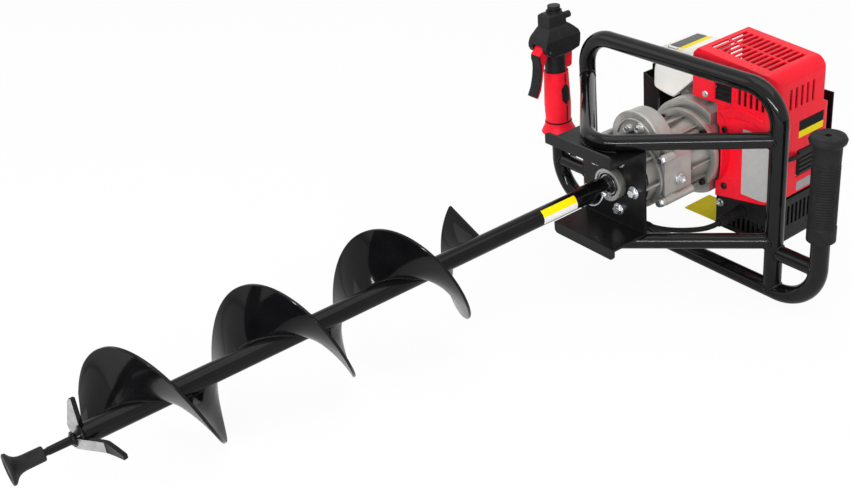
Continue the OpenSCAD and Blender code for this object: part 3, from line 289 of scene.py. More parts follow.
def tube_paint():
    """Gloss black coat with a slight orange peel."""
    return coat(
        "tube_paint", colours().paint_black, specular=0.24, spread=0.25, patches=60, low=0.05, high=0.1,
        clouds=25, grain=420, depth=0.0004, strength=0.05, edge=0.0008)


def drill_paint():
    """Black dip paint of the drill, a little thinner than the frame's."""
    return coat(
        "drill_paint", colours().paint_black, specular=0.16, spread=0.3, patches=35, low=0.05, high=0.12,
        clouds=14, grain=260, depth=0.0006, strength=0.06, edge=0.0006)


def sheet_paint():
    """Satin black coat of the bracket and the guard."""
    return coat(
        "sheet_paint", colours().paint_black, specular=0.24, spread=0.3, patches=50, low=0.24, high=0.36,
        clouds=30, grain=900, depth=0.0003, strength=0.08, edge=0.0012)


def sand_casting():
    """Bead-blasted aluminium with a fine grain, and painted shade where its surfaces stand close."""
    return coat(
        "sand_casting", colours().cast_metal, metallic=0.75, hollow_shade_reach=0.025, spread=0.12, patches=45,
        low=0.34, high=0.5, clouds=200, grain=1400, depth=0.0003, strength=0.22, edge=0.0016)


def machined_steel():
    """Bright steel with fine turning marks."""
    return coat(
        "machined_steel", (0.56, 0.56, 0.57), metallic=1.0, spread=0.15, patches=120, low=0.18, high=0.34,
        clouds=300, grain=900, depth=0.0001, strength=0.12, edge=0.0004, stretch=(1, 12, 1))


def ground_steel():
    """Grey faces of the cutters, ground bare."""
    return coat(
        "ground_steel", (0.37, 0.37, 0.37), metallic=0.8, spread=0.2, patches=90, low=0.3, high=0.45,
        clouds=160, grain=500, depth=0.0002, strength=0.2, edge=0.0006, stretch=(8, 1, 1))


def zinc_plate():
    """Bright plating of bolts and pins."""
    return coat(
        "zinc_plate", colours().zinc, metallic=1.0, spread=0.16, patches=260, low=0.2, high=0.38,
        clouds=320, grain=1500, depth=0.0001, strength=0.15, edge=0.0005)


def blackened_steel():
    """Dark oxide of the small screws."""
    return coat(
        "blackened_steel", (0.02, 0.02, 0.021), metallic=0.6, spread=0.3, patches=300, low=0.3, high=0.45,
        clouds=400, grain=1200, depth=0.0001, strength=0.15, edge=0.0004)


def red_shell():
    """Gloss red moulding of the shroud, with faint flow marks."""
    return coat(
        "red_shell", colours().signal_red, specular=0.16, spread=0.05, patches=30, low=0.24, high=0.36,
        clouds=40, grain=320, depth=0.0004, strength=0.05, edge=0.002)


def red_grip():
    """Softer red moulding with a fine texture under the hand."""
    return coat(
        "red_grip", colours().signal_red, specular=0.16, spread=0.06, patches=60, low=0.36, high=0.5,
        clouds=120, grain=1800, depth=0.0002, strength=0.12, edge=0.0012)


def satin_moulding():
    """Black plastic with a spark-eroded grain."""
    return coat(
        "satin_moulding", colours().moulded_black, specular=0.2, spread=0.3, patches=90, low=0.4,
        high=0.55, clouds=200, grain=2200, depth=0.0002, strength=0.25, edge=0.001)


def soft_rubber():
    """Matt black rubber."""
    return coat(
        "soft_rubber", colours().rubber_black, specular=0.18, spread=0.3, patches=70, low=0.5, high=0.68,
        clouds=150, grain=1600, depth=0.0002, strength=0.2, edge=0.0008)


def milky_plastic():
    """Cloudy tank plastic that glows a little where light goes in."""
    material = coat(
        "milky_plastic", colours().milky, spread=0.06, patches=25, low=0.3, high=0.42, clouds=60,
        grain=500, depth=0.0003, strength=0.06, edge=0.003)
    shader = material.node_tree.nodes["Principled BSDF"]
    shader.inputs["Subsurface Weight"].default_value = 0.35
    shader.inputs["Subsurface Radius"].default_value = (0.012, 0.011, 0.008)
    return material


def sticker(name, colour):
    """Printed film with a slight sheen."""
    return coat(
        name, colour, specular=0.06, spread=0.05, patches=150, low=0.28, high=0.4, clouds=90, grain=700,
        depth=0.0001, strength=0.05)


FINISHES = {}


def finish(make, *args):
    """One material of each kind, made when it is first asked for."""
    key = (make.__name__, *map(str, args))
    if key not in FINISHES:
        FINISHES[key] = make(*args)
    return FINISHES[key]


# Mesh helpers

def piece(name, bm, material, body, replaces=(), smooth=40.0):
    """Turns a mesh in the machine's millimetres into a piece that rides on a body."""
    bmesh.ops.remove_doubles(bm, verts=bm.verts, dist=1e-4)
    bmesh.ops.recalc_face_normals(bm, faces=bm.faces)
    bm.transform(MACHINE)
    mesh = bpy.data.meshes.new(name)
    bm.to_mesh(mesh)
    bm.free()
    mesh.polygons.foreach_set("use_smooth", [True] * len(mesh.polygons))
    mesh.set_sharp_from_angle(angle=math.radians(smooth))
    obj = bpy.data.objects.new(name, mesh)
    bpy.context.scene.collection.objects.link(obj)
    mesh.materials.append(material)
    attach(obj, body)
    if replaces:
        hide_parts(*replaces)
    return obj


def skin_rings(bm, rings, closed=False):
    """Joins rings of points, each with as many points, into one closed skin."""
    rows = [[bm.verts.new(p) for p in ring] for ring in rings]
    count = len(rows)
    width = len(rows[0])
    for i in range(count if closed else count - 1):
        a, b = rows[i], rows[(i + 1) % count]
        for k in range(width):
            bm.faces.new((a[k], a[(k + 1) % width], b[(k + 1) % width], b[k]))
    if not closed:
        bm.faces.new(list(reversed(rows[0])))
        bm.faces.new(rows[-1])


def sweep(bm, points, radius, sides=8, closed=False):
    """A round bead along points; radius is a number or a function of the point's index."""
    points = [Vector(p) for p in points]
    count = len(points)
    rings = []
    normal = None
    for i, p in enumerate(points):
        ahead = points[(i + 1) % count] if closed or i + 1 < count else p
        behind = points[i - 1] if closed or i > 0 else p
        way = (ahead - behind).normalized()
        if normal is None:
            normal = way.orthogonal().normalized()
        normal = (normal - way * normal.dot(way)).normalized()
        across = way.cross(normal)
        r = radius(i) if callable(radius) else radius
        rings.append([p + r * (math.cos(a) * normal + math.sin(a) * across)
                      for a in (2 * math.pi * k / sides for k in range(sides))])
    skin_rings(bm, rings, closed)


def ripple(radius, step, share=0.12):
    """Radius of a weld bead that swells at each step, and less often by more."""
    return lambda i: radius * (1 + share * math.sin(2 * math.pi * i / step)
                               + share * math.sin(2 * math.pi * i / (4 * step)))


def lathe(bm, origin, way, profile, sides=32, closed=False):
    """A turned form; profile gives (offset, radius), a radius being a number or a function of the angle."""
    origin, way = Vector(origin), Vector(way).normalized()
    u = way.orthogonal().normalized()
    v = way.cross(u)
    rings = []
    for offset, radius in profile:
        ring = []
        for k in range(sides):
            a = 2 * math.pi * k / sides
            r = radius(a) if callable(radius) else radius
            ring.append(origin + offset * way + r * (math.cos(a) * u + math.sin(a) * v))
        rings.append(ring)
    skin_rings(bm, rings, closed)


def hexagon(flats):
    """Radius of a hexagon at an angle, from its width over the flats."""
    sixth = math.pi / 3
    return lambda a: flats / 2 / math.cos(a % sixth - sixth / 2)


def cross_slot(arm, half):
    """Radius of a cross-shaped recess at an angle."""
    def radius(a):
        off = (a + math.pi / 4) % (math.pi / 2) - math.pi / 4
        return arm / math.cos(off) if abs(math.tan(off)) * arm <= half else half / abs(math.sin(off))
    return radius


def toothed(r, depth, teeth):
    return lambda a: r + depth * math.sin(teeth * a)


def surface(node):
    """The skin of a solid, to seat pieces on."""
    mesh = frame["nodes"][node].data
    return BVHTree.FromPolygons([v.co for v in mesh.vertices], [tuple(p.vertices) for p in mesh.polygons])


def seat(skin, place, out, reach=40.0):
    """Where a line towards place, coming from outside, first meets a solid's skin."""
    out = Vector(out).normalized()
    way = (MACHINE.to_3x3() @ out).normalized()
    hit = skin.ray_cast(MACHINE @ (Vector(place) + reach * out), -way, 2 * reach * MILLIMETRE)[0]
    if hit is None:
        raise ValueError(f"nothing to sit on near {tuple(place)}")
    return MACHINE.inverted() @ hit


def saddle(foot, branch_way, branch_r, host_way, host_r, count=64):
    """The line where a branch tube meets a host tube whose axis goes through foot."""
    foot, d, h = Vector(foot), Vector(branch_way).normalized(), Vector(host_way).normalized()
    u = d.orthogonal().normalized()
    v = d.cross(u)
    line = []
    for k in range(count):
        a = 2 * math.pi * k / count
        off = branch_r * (math.cos(a) * u + math.sin(a) * v)
        flat_off = off - h * off.dot(h)
        flat_d = d - h * d.dot(h)
        aa, bb, cc = flat_d.dot(flat_d), flat_off.dot(flat_d), flat_off.dot(flat_off) - host_r ** 2
        reach = (-bb + math.sqrt(max(0.0, bb * bb - aa * cc))) / aa
        line.append(foot + off + reach * d)
    return line


def on_tube(angle, y, r):
    """A point on a tube about the drill axis; the angle goes from the top to the plain grip's side."""
    a = math.radians(angle)
    return Vector((r * math.sin(a), y, r * math.cos(a)))


def film_on_tube(bm, y0, y1, a0, a1, r, t, steps=16):
    """A sticker bent round the drill's tube."""
    angles = [a0 + (a1 - a0) * k / steps for k in range(steps + 1)]
    outline = [on_tube(a, 0, r + t) for a in angles] + [on_tube(a, 0, r) for a in reversed(angles)]
    skin_rings(bm, [[p + Vector((0, y, 0)) for p in outline] for y in (y0, y1)])


def rounded_outline(w, h, r, steps=5, gap=4.0):
    """Corner-rounded rectangle about the origin, as flat points no further apart than gap."""
    points = []
    for cx, cy, start in ((w / 2 - r, h / 2 - r, 0), (r - w / 2, h / 2 - r, 90),
                          (r - w / 2, r - h / 2, 180), (w / 2 - r, r - h / 2, 270)):
        for k in range(steps + 1):
            a = math.radians(start + 90 * k / steps)
            points.append((cx + r * math.cos(a), cy + r * math.sin(a)))
    outline = []
    for (x0, y0), (x1, y1) in zip(points, points[1:] + points[:1]):
        count = max(1, math.ceil(math.hypot(x1 - x0, y1 - y0) / gap))
        outline += [(x0 + (x1 - x0) * k / count, y0 + (y1 - y0) * k / count) for k in range(count)]
    return outline


def film_on_solid(bm, node, centre, right, up, w, h, t, r=1.5):
    """A sticker with rounded corners that lies on a solid's skin."""
    skin = surface(node)
    centre, right, up = Vector(centre), Vector(right).normalized(), Vector(up).normalized()
    out = right.cross(up)
    outline = rounded_outline(w, h, r)
    shares = (0.02, 0.15, 0.3, 0.45, 0.6, 0.75, 0.9, 1.0)
    seats = [[seat(skin, centre + s * (x * right + y * up), out) for x, y in outline] for s in shares]
    lift = 0.01
    back = [[p + lift * out for p in ring] for ring in seats]
    front = [[p + t * out for p in ring] for ring in reversed(seats)]
    skin_rings(bm, back + front)


# Frame

def brace_ends():
    """Where the braces meet the legs, and the ways they leave them."""
    for z in (-BRACE_Z, BRACE_Z):
        for side in (-1, 1):
            yield (side * LEG_X, 0, z), (-side * math.sin(BRACE_HALF), -math.cos(BRACE_HALF), 0)


class AUGER_OT_frame_welds(bpy.types.Operator):
    """Weld beads where the frame's tubes meet"""

    bl_idname = "auger.frame_welds"
    bl_label = "Frame welds"

    def execute(self, context):
        bead = ripple(trim().weld_r, BEAD_STEP)
        joins = []
        for side in (-1, 1):
            joins += [((side * LEG_X, 0, RUN_Z), Z, FRAME_R, X),
                      ((side * LEG_X, 0, CROSS_Z), side * X, BRACE_R, Z),
                      ((side * HANDLE_X, 0, CROSS_Z), -side * X, BRACE_R, Z)]
        joins += [(foot, way, BRACE_R, Z) for foot, way in brace_ends()]
        bm = bmesh.new()
        for foot, way, branch_r, host_way in joins:
            sweep(bm, saddle(foot, way, branch_r, host_way, FRAME_R), bead, closed=True)
        centre_y = BRACE_BEND / math.sin(BRACE_HALF) - BRACE_REACH
        angles = [(BRACE_HALF - math.pi / 2) * (1 - k / 20) for k in range(41)]
        for z in (-SEAM_Z, SEAM_Z):
            for off in (-SEAM_OFF, SEAM_OFF):
                bend = BRACE_BEND + off
                sweep(bm, [(bend * math.sin(a), centre_y - bend * math.cos(a), z) for a in angles], bead)
        piece("frame_welds", bm, finish(tube_paint), "frame")
        return {"FINISHED"}


# Drill

def flight_place(turn, r, rise):
    """A point of the flight; its inner edge runs ahead of its rim, most of all at the tube's end."""
    begun = min(1.0, turn / LEAD_TURN)
    ended = max(0.0, (turn - FLIGHT_TURNS + LEAD_TURN) / LEAD_TURN)
    ahead = (LEAN * begun + (LEAD - LEAN) * ended ** 2) * (FLIGHT_R - r) / (FLIGHT_R - TUBE_R)
    return on_tube(FLIGHT_START - 360 * turn, FLIGHT_TOP - FLIGHT_PITCH * turn - ahead + rise, r)


class AUGER_OT_flight(bpy.types.Operator):
    """Smooth helical flight with a rounded rim, and its weld along the tube"""

    bl_idname = "auger.flight"
    bl_label = "Flight"

    def execute(self, context):
        half, rim = FLIGHT_T / 2, 0.8
        upper = [(TUBE_R + 0.1, half), (FLIGHT_R * 0.5, half), (FLIGHT_R - rim, half), (FLIGHT_R, half - rim)]
        profile = upper + [(r, -rise) for r, rise in reversed(upper)]
        steps, closing, tuck = 260, 6, 0.22
        rings = []
        for i in range(steps + 1):
            turn = FLIGHT_TURNS * i / steps
            near_end = max(0.0, 1 - (steps - i) / closing)
            pull = 1 - tuck * (1 - math.sqrt(1 - near_end ** 2))
            rings.append([flight_place(turn, max(TUBE_R, r * pull), rise) for r, rise in profile])
        bm = bmesh.new()
        skin_rings(bm, rings)
        piece("flight_blade", bm, finish(drill_paint), "drill", ["drill_flight"], smooth=30)
        steps, start, share = 420, 0.004, 0.992
        turns = [FLIGHT_TURNS * (start + share * i / steps) for i in range(steps + 1)]
        bm = bmesh.new()
        for rise in (-half, half):
            line = [flight_place(turn, TUBE_R + 0.6, rise) for turn in turns]
            sweep(bm, line, ripple(trim().flight_weld_r, 3, 0.1), sides=6)
        piece("flight_weld", bm, finish(drill_paint), "drill")
        return {"FINISHED"}


class AUGER_OT_tip(bpy.types.Operator):
    """The two cutter plates with their welds, and the rubber cap on the point"""

    bl_idname = "auger.tip"
    bl_label = "Drill tip"

    def execute(self, context):
        self.cutters()
        self.welds()
        self.cap()
        return {"FINISHED"}

    def cutters(self):
        """A straight plate and a bent one, ground bare on the faces that cut."""
        bm = bmesh.new()
        front, back, turned = -914.0, -909.0, 0.45
        plate = [(1, 2), (1, 49), (-2, 49), (-5, 44), (-16, 9), (-14, -1), (-4, -4)]
        skin_rings(bm, [[(x, y + turned * x, z) for x, z in plate] for y in (front, back)])
        path = [(1, -921), (12, -913.5), (24, -904.5), (32, -899), (36, -897), (48, -893.5), (62, -890)]
        half, tail_start, tail_length = 2.5, 36, 26
        rings = []
        for i, (x, y) in enumerate(path):
            (x0, y0), (x1, y1) = path[max(0, i - 1)], path[min(len(path) - 1, i + 1)]
            way = Vector((x1 - x0, y1 - y0)).normalized()
            across = Vector((-way.y, way.x)) * half
            thin = max(0.0, (x - tail_start) / tail_length)
            high, low = 3.0 - 5 * thin, -11.0 + 3.5 * thin
            rings.append([(x + side * across.x, y + side * across.y, z)
                          for side, z in ((1, high), (1, low), (-1, low), (-1, high))])
        skin_rings(bm, rings)
        plates = piece("cutter_plates", bm, finish(drill_paint), "drill",
                       ["drill_cutters"], smooth=25)
        plates.data.materials.append(finish(ground_steel))
        to_machine = MACHINE.inverted()
        for face in plates.data.polygons:
            if face.normal.dot(DRILL_WAY) < -0.5 and (to_machine @ face.center).x < BARE_X:
                face.material_index = 1

    def welds(self):
        bm = bmesh.new()
        points = 40
        for y, r in ((DRILL_END - 2, 11.6), (DRILL_END - 11, 7.0)):
            ring = [on_tube(360 * k / points, y, r) for k in range(points)]
            sweep(bm, ring, ripple(2.2, 5, 0.2), sides=8, closed=True)
        piece("cutter_welds", bm, finish(drill_paint), "drill", smooth=60)

    def cap(self):
        bm = bmesh.new()
        cap = [(-983, 0.6), (-982.6, 4.3), (-955.2, 4.3), (-955, 4.8), (-955, 7.4), (-956, 8.6), (-966, 8.7),
               (-977, 8.8), (-981, 9.3), (-984.5, 10.6), (-987.5, 13), (-989.8, 16.2), (-991, 17.6),
               (-992.4, 18), (-993.8, 17.9), (-994.4, 17.2), (-994.4, 12), (-993.6, 11), (-993.6, 0.6)]
        lathe(bm, (0, 0, 0), Y, cap, 56)
        piece("rubber_tip", bm, finish(soft_rubber), "tip_cap", ["tip_cap"], smooth=35)


class AUGER_OT_drill_sticker(bpy.types.Operator):
    """Bare two-colour sticker on the drill's tube"""

    bl_idname = "auger.drill_sticker"
    bl_label = "Drill sticker"

    def execute(self, context):
        low, high = -265, -205
        for name, a0, a1, colour in (("drill_sticker_yellow", 22, 72, colours().sticker_yellow),
                                     ("drill_sticker_white", 72, 118, (0.8, 0.8, 0.79))):
            bm = bmesh.new()
            film_on_tube(bm, low, high, a0, a1, TUBE_R + 0.02, trim().sheet_t)
            piece(name, bm, finish(sticker, name, tuple(colour)), "drill")
        return {"FINISHED"}


# Conduit

CONDUIT_ROUTE = [
    (-252.5, 20, -42.2), (-252.5, 20, -66), (-250, 20, -82), (-240, 22, -100), (-222, 24, -112),
    (-200, 24, -117), (-172, 22, -118), (-140, 8, -116), (-100, -18, -110), (-60, -42, -102),
    (-20, -62, -94), (14, -70, -88), (38, -62, -88), (56, -42, -91), (68, -18, -94), (72, 0, -95),
    (72, 11.8, -95),
]


def along(route, t):
    """A point on the smooth curve through the route's points."""
    k = min(len(route) - 2, int(t))
    u = t - k
    a, b, c, d = (Vector(route[min(len(route) - 1, max(0, k + j))]) for j in (-1, 0, 1, 2))
    return 0.5 * (2 * b + (c - a) * u + (2 * a - 5 * b + 4 * c - d) * u * u
                  + (3 * b - a - 3 * c + d) * u ** 3)


def curve_points(route, steps):
    """Points on the whole of that curve."""
    last = len(route) - 1
    return [along(route, last * i / steps) for i in range(steps + 1)]


class AUGER_OT_conduit(bpy.types.Operator):
    """Ribbed conduit of the throttle cable, and the rubber sleeve on it"""

    bl_idname = "auger.conduit"
    bl_label = "Conduit"

    def execute(self, context):
        size = trim()
        fine = curve_points(CONDUIT_ROUTE, 900)
        length = sum((b - a).length for a, b in zip(fine, fine[1:]))
        swell = (0.86, 0.98, 1.0, 0.98)
        per_rib = len(swell)
        points = curve_points(CONDUIT_ROUTE, int(length / size.rib_pitch) * per_rib)
        bm = bmesh.new()
        sweep(bm, points, lambda i: size.conduit_r * swell[i % per_rib], sides=12)
        piece("ribbed_conduit", bm, finish(satin_moulding), "frame",
              ["throttle_cable"], smooth=60)
        start, span, steps = 9.2, 2.0, 36
        thick, taper, clear = 1.6, 4, 0.1
        sleeve = [along(CONDUIT_ROUTE, start + span * i / steps) for i in range(steps + 1)]
        radii = [size.conduit_r + thick * min(1.0, i / taper, (steps - i) / taper) + clear
                 for i in range(steps + 1)]
        bm = bmesh.new()
        sweep(bm, sleeve, lambda i: radii[i], sides=16)
        piece("conduit_sleeve", bm, finish(soft_rubber), "frame", smooth=60)
        return {"FINISHED"}


# Stickers on the engine

class AUGER_OT_engine_stickers(bpy.types.Operator):
    """Bare plates and stickers on the shroud and the tank"""

    bl_idname = "auger.engine_stickers"
    bl_label = "Engine stickers"

    def execute(self, context):
        pale, grey, dark = (0.44, 0.44, 0.43), (0.36, 0.36, 0.36), (0.13, 0.13, 0.135)
        black = (0.006, 0.006, 0.007)
        yellow = tuple(colours().sticker_yellow)
        corner_r = 1.2
        films = [
            ("spec_plate", "engine_shroud", (110.5, SHROUD_FRONT, -1), (X, Z), (45, 102), pale),
            ("side_sticker_black", "engine_shroud", (SHROUD_RIGHT, 123.5, 49.2), (Y, Z), (53, 15.6), black),
            ("side_sticker_yellow", "engine_shroud", (SHROUD_RIGHT, 123.5, 36.2), (Y, Z), (53, 10.4), yellow),
            ("low_plate", "engine_shroud", (SHROUD_RIGHT, 115, -45), (Y, Z), (34, 14), grey),
            ("tank_sticker_grey", "fuel_tank", (-61.2, 90, TANK_TOP), (X, Y), (19.5, 68), dark),
            ("tank_sticker_yellow", "fuel_tank", (-47.2, 90, TANK_TOP), (X, Y), (8.5, 68), yellow),
        ]
        for name, node, centre, ways, size, colour in films:
            bm = bmesh.new()
            film_on_solid(bm, node, centre, *ways, *size, trim().sheet_t, corner_r)
            piece(name, bm, finish(sticker, name, colour), "frame")
        return {"FINISHED"}


class AUGER_OT_tag(bpy.types.Operator):
    """Bare yellow tag plate, fixed under the lower cover and standing out to the left"""

    bl_idname = "auger.tag"
    bl_label = "Tag"

    def execute(self, context):
        wide, deep, t, corner_r = 85.0, 58.0, 0.8, 3.0
        middle_y, lap, inset = 98, 15, 0.004
        under = seat(surface("lower_cover"), (COVER_LEFT + 9, middle_y, -136), -Z).z
        centre = Vector((COVER_LEFT + lap - wide / 2, middle_y, under))
        outline = rounded_outline(wide, deep, corner_r)
        rings = []
        for share, drop in ((inset, -t), (0.0, -t + 0.15), (0.0, -0.17), (inset, -0.02)):
            rings.append([centre + Vector((x * (1 - share), y * (1 - share), drop)) for x, y in outline])
        bm = bmesh.new()
        skin_rings(bm, rings)
        yellow = finish(sticker, "tag_yellow", tuple(colours().sticker_yellow))
        piece("yellow_tag", bm, yellow, "frame")
        return {"FINISHED"}


# Trim of the gearbox and the shroud

def arc_band(bm, centre, section, start, end, steps=48):
    """A band bent about an axis along y; section gives (radius, y) and angles go from the top."""
    rings = []
    for i in range(steps + 1):
        a = math.radians(start + (end - start) * i / steps)
        rings.append([Vector(centre) + Vector((r * math.sin(a), y, r * math.cos(a))) for r, y in section])
    skin_rings(bm, rings)


class AUGER_OT_gearbox_trim(bpy.types.Operator):
    """Split flange, cast rib and bolts on the gearbox's upper lobe"""

    bl_idname = "auger.gearbox_trim"
    bl_label = "Gearbox trim"

    def execute(self, context):
        split = seat(surface("gearbox_housing"), (0, -82, LOBE_Z + LOBE_R - 3), -Y).y
        lobe = (0, split, LOBE_Z)
        flange = [(LOBE_R + out, y) for out, y in (
            (-0.6, 0.2), (1.0, 0.2), (1.4, 0.6), (1.4, 5.4), (0.6, 6.4), (-0.6, 6.8))]
        rib = [(33.0, 0.4), (33.4, -1.2), (34.0, -1.6), (35.6, -1.6), (36.2, -1.2), (36.6, 0.4)]
        boss_h = 3.0
        boss = [(-0.5, 8.4), (0.8, 8.0), (2.4, 7.2), (boss_h, 6.8), (boss_h, 0.5)]
        flats = hexagon(9)
        bolt = [(-0.2, 5.6), (0.9, 5.6), (1.2, 5.2), (1.2, flats), (5.4, flats), (6.0, 3.7), (6.0, 2.4),
                (5.2, 2.2)]
        places = [(-11.2, 63.8), (10.3, 70.8)]
        bm = bmesh.new()
        arc_band(bm, lobe, flange, -86, 86)
        arc_band(bm, lobe, rib, -78, 78)
        for x, z in places:
            lathe(bm, (x, split, z), -Y, boss, 40)
        piece("gearbox_ribs", bm, finish(sand_casting), "frame", smooth=35)
        bm = bmesh.new()
        for x, z in places:
            lathe(bm, (x, split - boss_h, z), -Y, bolt, 48)
        piece("case_bolts", bm, finish(zinc_plate), "frame")
        return {"FINISHED"}


class AUGER_OT_shroud_trim(bpy.types.Operator):
    """Collar of the shroud round the clutch, its ledge, and the dark louvres behind its window, with a dark
    backing behind the front slots as painted shade
    """

    bl_idname = "auger.shroud_trim"
    bl_label = "Shroud trim"

    def execute(self, context):
        self.collar()
        self.ledge()
        self.louvres_and_shade_backing()
        return {"FINISHED"}

    def collar(self):
        """A wall that follows the clutch's round and runs back to the panel above and below it."""
        front, back, slope = 23.0, SHROUD_FRONT + 1.0, 0.95
        top, height, steps = 66, 134, 64
        rings = []
        for k in range(steps + 1):
            z = top - height * k / steps
            x = max(PANEL_LEFT, math.sqrt(max(0.0, COLLAR_R ** 2 - z * z)))
            lip = min(SHROUD_FRONT - 0.5, front + slope * (COLLAR_R - x))
            section = [(0, back), (0, lip + 0.5), (0.6, lip), (2.0, lip), (2.8, lip + 0.6), (3.4, back)]
            rings.append([(x + dx, y, z) for dx, y in section])
        bm = bmesh.new()
        skin_rings(bm, rings)
        piece("shroud_collar", bm, finish(red_shell), "frame", smooth=30)

    def ledge(self):
        """The swollen shoulder under the slots, and the lip round the window's lower corner."""
        route = [(44, 0, 63.5), (52, 0, 70.5), (71, 0, 77), (94, 0, 78.2), (112, 0, 75.8), (124, 0, 72)]
        proud, sunk = 3.0, -0.6
        section = [(0, sunk), (0, proud - 0.6), (-0.8, proud), (-4, proud - 0.3), (-10, proud / 2),
                   (-16, 0.1), (-17, sunk)]
        steps, fading = 48, 6
        points = curve_points(route, steps)
        rings = []
        for i, p in enumerate(points):
            way = (points[min(steps, i + 1)] - points[max(0, i - 1)]).normalized()
            up = Vector((-way.z, 0, way.x))
            fade = min(1.0, i / fading, (steps - i) / fading)
            ring = []
            for rise, out in section:
                y = SHROUD_FRONT - (out * fade if out > 0 else out)
                ring.append(p + rise * up + Vector((0, y, 0)))
            rings.append(ring)
        bm = bmesh.new()
        skin_rings(bm, rings)
        lip = [(42, 77.5), (50, 76.6), (57, 76.2), (63, 78.2), (67.5, 82), (70, 88), (70, 104)]
        lip_r = 1.5
        sweep(bm, curve_points([(x, SHROUD_FRONT - 0.3, z) for x, z in lip], 36), lip_r, 10)
        piece("shroud_ledge", bm, finish(red_shell), "frame", smooth=35)

    def louvres_and_shade_backing(self):
        bm = bmesh.new()
        for z in (84, 91, 98, 105):
            blade = [(42.2, z - 4), (43.4, z - 4.4), (49, z + 1.6), (48.2, z + 2.8)]
            # The first run fills the window as louvres; the second is a dark backing behind the front slots,
            # painted shade inside them.
            for ends in ((34.5, 67.5), (72.5, 122.0)):
                skin_rings(bm, [[(x, y, h) for y, h in blade] for x in ends])
        piece("window_louvres_and_shade_backing", bm, finish(satin_moulding), "frame")


# Fastenings and trim of the handles

class AUGER_OT_fastenings(bpy.types.Operator):
    """Toothed washers, cross-head screws, plugs and the bearing's seal"""

    bl_idname = "auger.fastenings"
    bl_label = "Fastenings"

    def execute(self, context):
        self.washers()
        self.seal()
        self.shroud_screws()
        self.plugs()
        return {"FINISHED"}

    def washers(self):
        count, first = 5, -3
        teeth, deep = 20, 0.4
        washer = [(0, 7.3), (0.3, toothed(7.6, deep, teeth)), (1.3, toothed(7.4, deep, teeth)), (1.6, 6.6)]
        bm = bmesh.new()
        for i in range(count):
            a = math.radians(first - 360 / count * i)
            place = (BOLT_RING * math.cos(a), WASHER_BACK, BOLT_RING * math.sin(a))
            lathe(bm, place, -Y, washer, 80)
        piece("bolt_washers", bm, finish(zinc_plate), "frame")

    def seal(self):
        """The seal in the nose, and the shield that turns with the shaft inside it."""
        outer = [(2.5, 15.0), (0.7, 15.0), (0.4, 15.4), (0.4, 17.4), (0.7, 17.9), (2.5, 17.9)]
        inner = [(0.3, 10.2), (-0.5, 10.2), (-0.7, 10.6), (-0.7, 12.9), (-0.4, 13.4), (0.3, 13.4)]
        for name, ring, body in (("bearing_seal", outer, "frame"), ("shaft_shield", inner, "drill")):
            bm = bmesh.new()
            lathe(bm, (0, BEARING_FRONT, 0), Y, ring, 64, closed=True)
            piece(name, bm, finish(satin_moulding), body)

    def shroud_screws(self):
        cross, inner = cross_slot(3.0, 0.75), cross_slot(2.2, 0.5)
        head = [(-0.5, 5.0), (1.6, 5.0), (2.5, 4.4), (2.9, 3.6), (2.9, cross), (0.9, inner)]
        for name, places, make, slot, hidden in (
                ("shroud_screw_heads", ((56, 39.5), (57, -50)), blackened_steel, "black_screw",
                 ["shroud_screws"]),
                ("shroud_top_screw", ((20, 84.5),), zinc_plate, "zinc", ())):
            bm = bmesh.new()
            for x, z in places:
                lathe(bm, (x, SHROUD_FRONT, z), -Y, head, 64)
            piece(name, bm, finish(make), "frame", hidden)

    def plugs(self):
        """The gearbox's oil plug, and a bolt of the lower cover."""
        flats = hexagon(11)
        oil_plug = [(-0.5, 8.5), (1.2, 8.5), (1.6, 8.0), (1.6, flats), (6.4, flats), (7, 4.8), (7, 3.4),
                    (5.6, 3.2)]
        flats = hexagon(8)
        cover_bolt = [(-0.5, 6), (1, 6), (1.3, 5.6), (1.3, flats), (5, flats), (5.5, 3.2), (5.5, 2.2),
                      (4.6, 2)]
        bm = bmesh.new()
        for node, place, out, profile in (
                ("gearbox_housing", (GEARBOX_RIGHT, -51, -4), X, oil_plug),
                ("lower_cover", (33, COVER_FRONT, -95), -Y, cover_bolt)):
            lathe(bm, seat(surface(node), place, out), out, profile, 48)
        piece("plug_and_cover_bolt", bm, finish(zinc_plate), "frame")


class AUGER_OT_handle_trim(bpy.types.Operator):
    """Soft seams and pads on the grips and the trigger"""

    bl_idname = "auger.handle_trim"
    bl_label = "Handle trim"

    def execute(self, context):
        self.seams()
        self.trigger_pad()
        return {"FINISHED"}

    def seams(self):
        bm = bmesh.new()
        wide, t, corner_r = 3.0, 0.25, 0.6
        for low, high in ((47, 62.5), (-19, 9)):
            middle = (-HANDLE_X + 21, 1, (low + high) / 2)
            film_on_solid(bm, "throttle_grip", middle, Y, Z, wide, high - low, t, corner_r)
        piece("grip_seams", bm, finish(soft_rubber), "frame")
        bm = bmesh.new()
        ring = [(-22.9, 19.8), (-22.9, 20.4), (-22.6, 20.7), (-20.9, 20.7), (-20.6, 20.4), (-20.6, 19.8)]
        lathe(bm, (-HANDLE_X, 0, 0), Z, ring, 64, closed=True)
        piece("grip_ring", bm, finish(soft_rubber), "frame")
        bm = bmesh.new()
        wide, deep, t, corner_r = 14, 1.3, 0.15, 0.5
        film_on_solid(bm, "right_grip", (HANDLE_X - 11.5, 0, 106), X, Y, wide, deep, t, corner_r)
        piece("grip_end_slit", bm, finish(satin_moulding), "frame")

    def trigger_pad(self):
        front = [(-41, 101), (-41.5, 95), (-39.5, 87), (-39.5, 78), (-41.5, 64), (-46, 48), (-52.5, 35.6)]
        section = [(-10.3, 2), (10.3, 2), (10.3, 0), (9.3, -0.9), (-9.3, -0.9), (-10.3, 0)]
        bm = bmesh.new()
        skin_rings(bm, [[(-HANDLE_X + dx, y + dy, z) for dx, dy in section] for y, z in front])
        piece("trigger_pad", bm, finish(soft_rubber), "trigger")


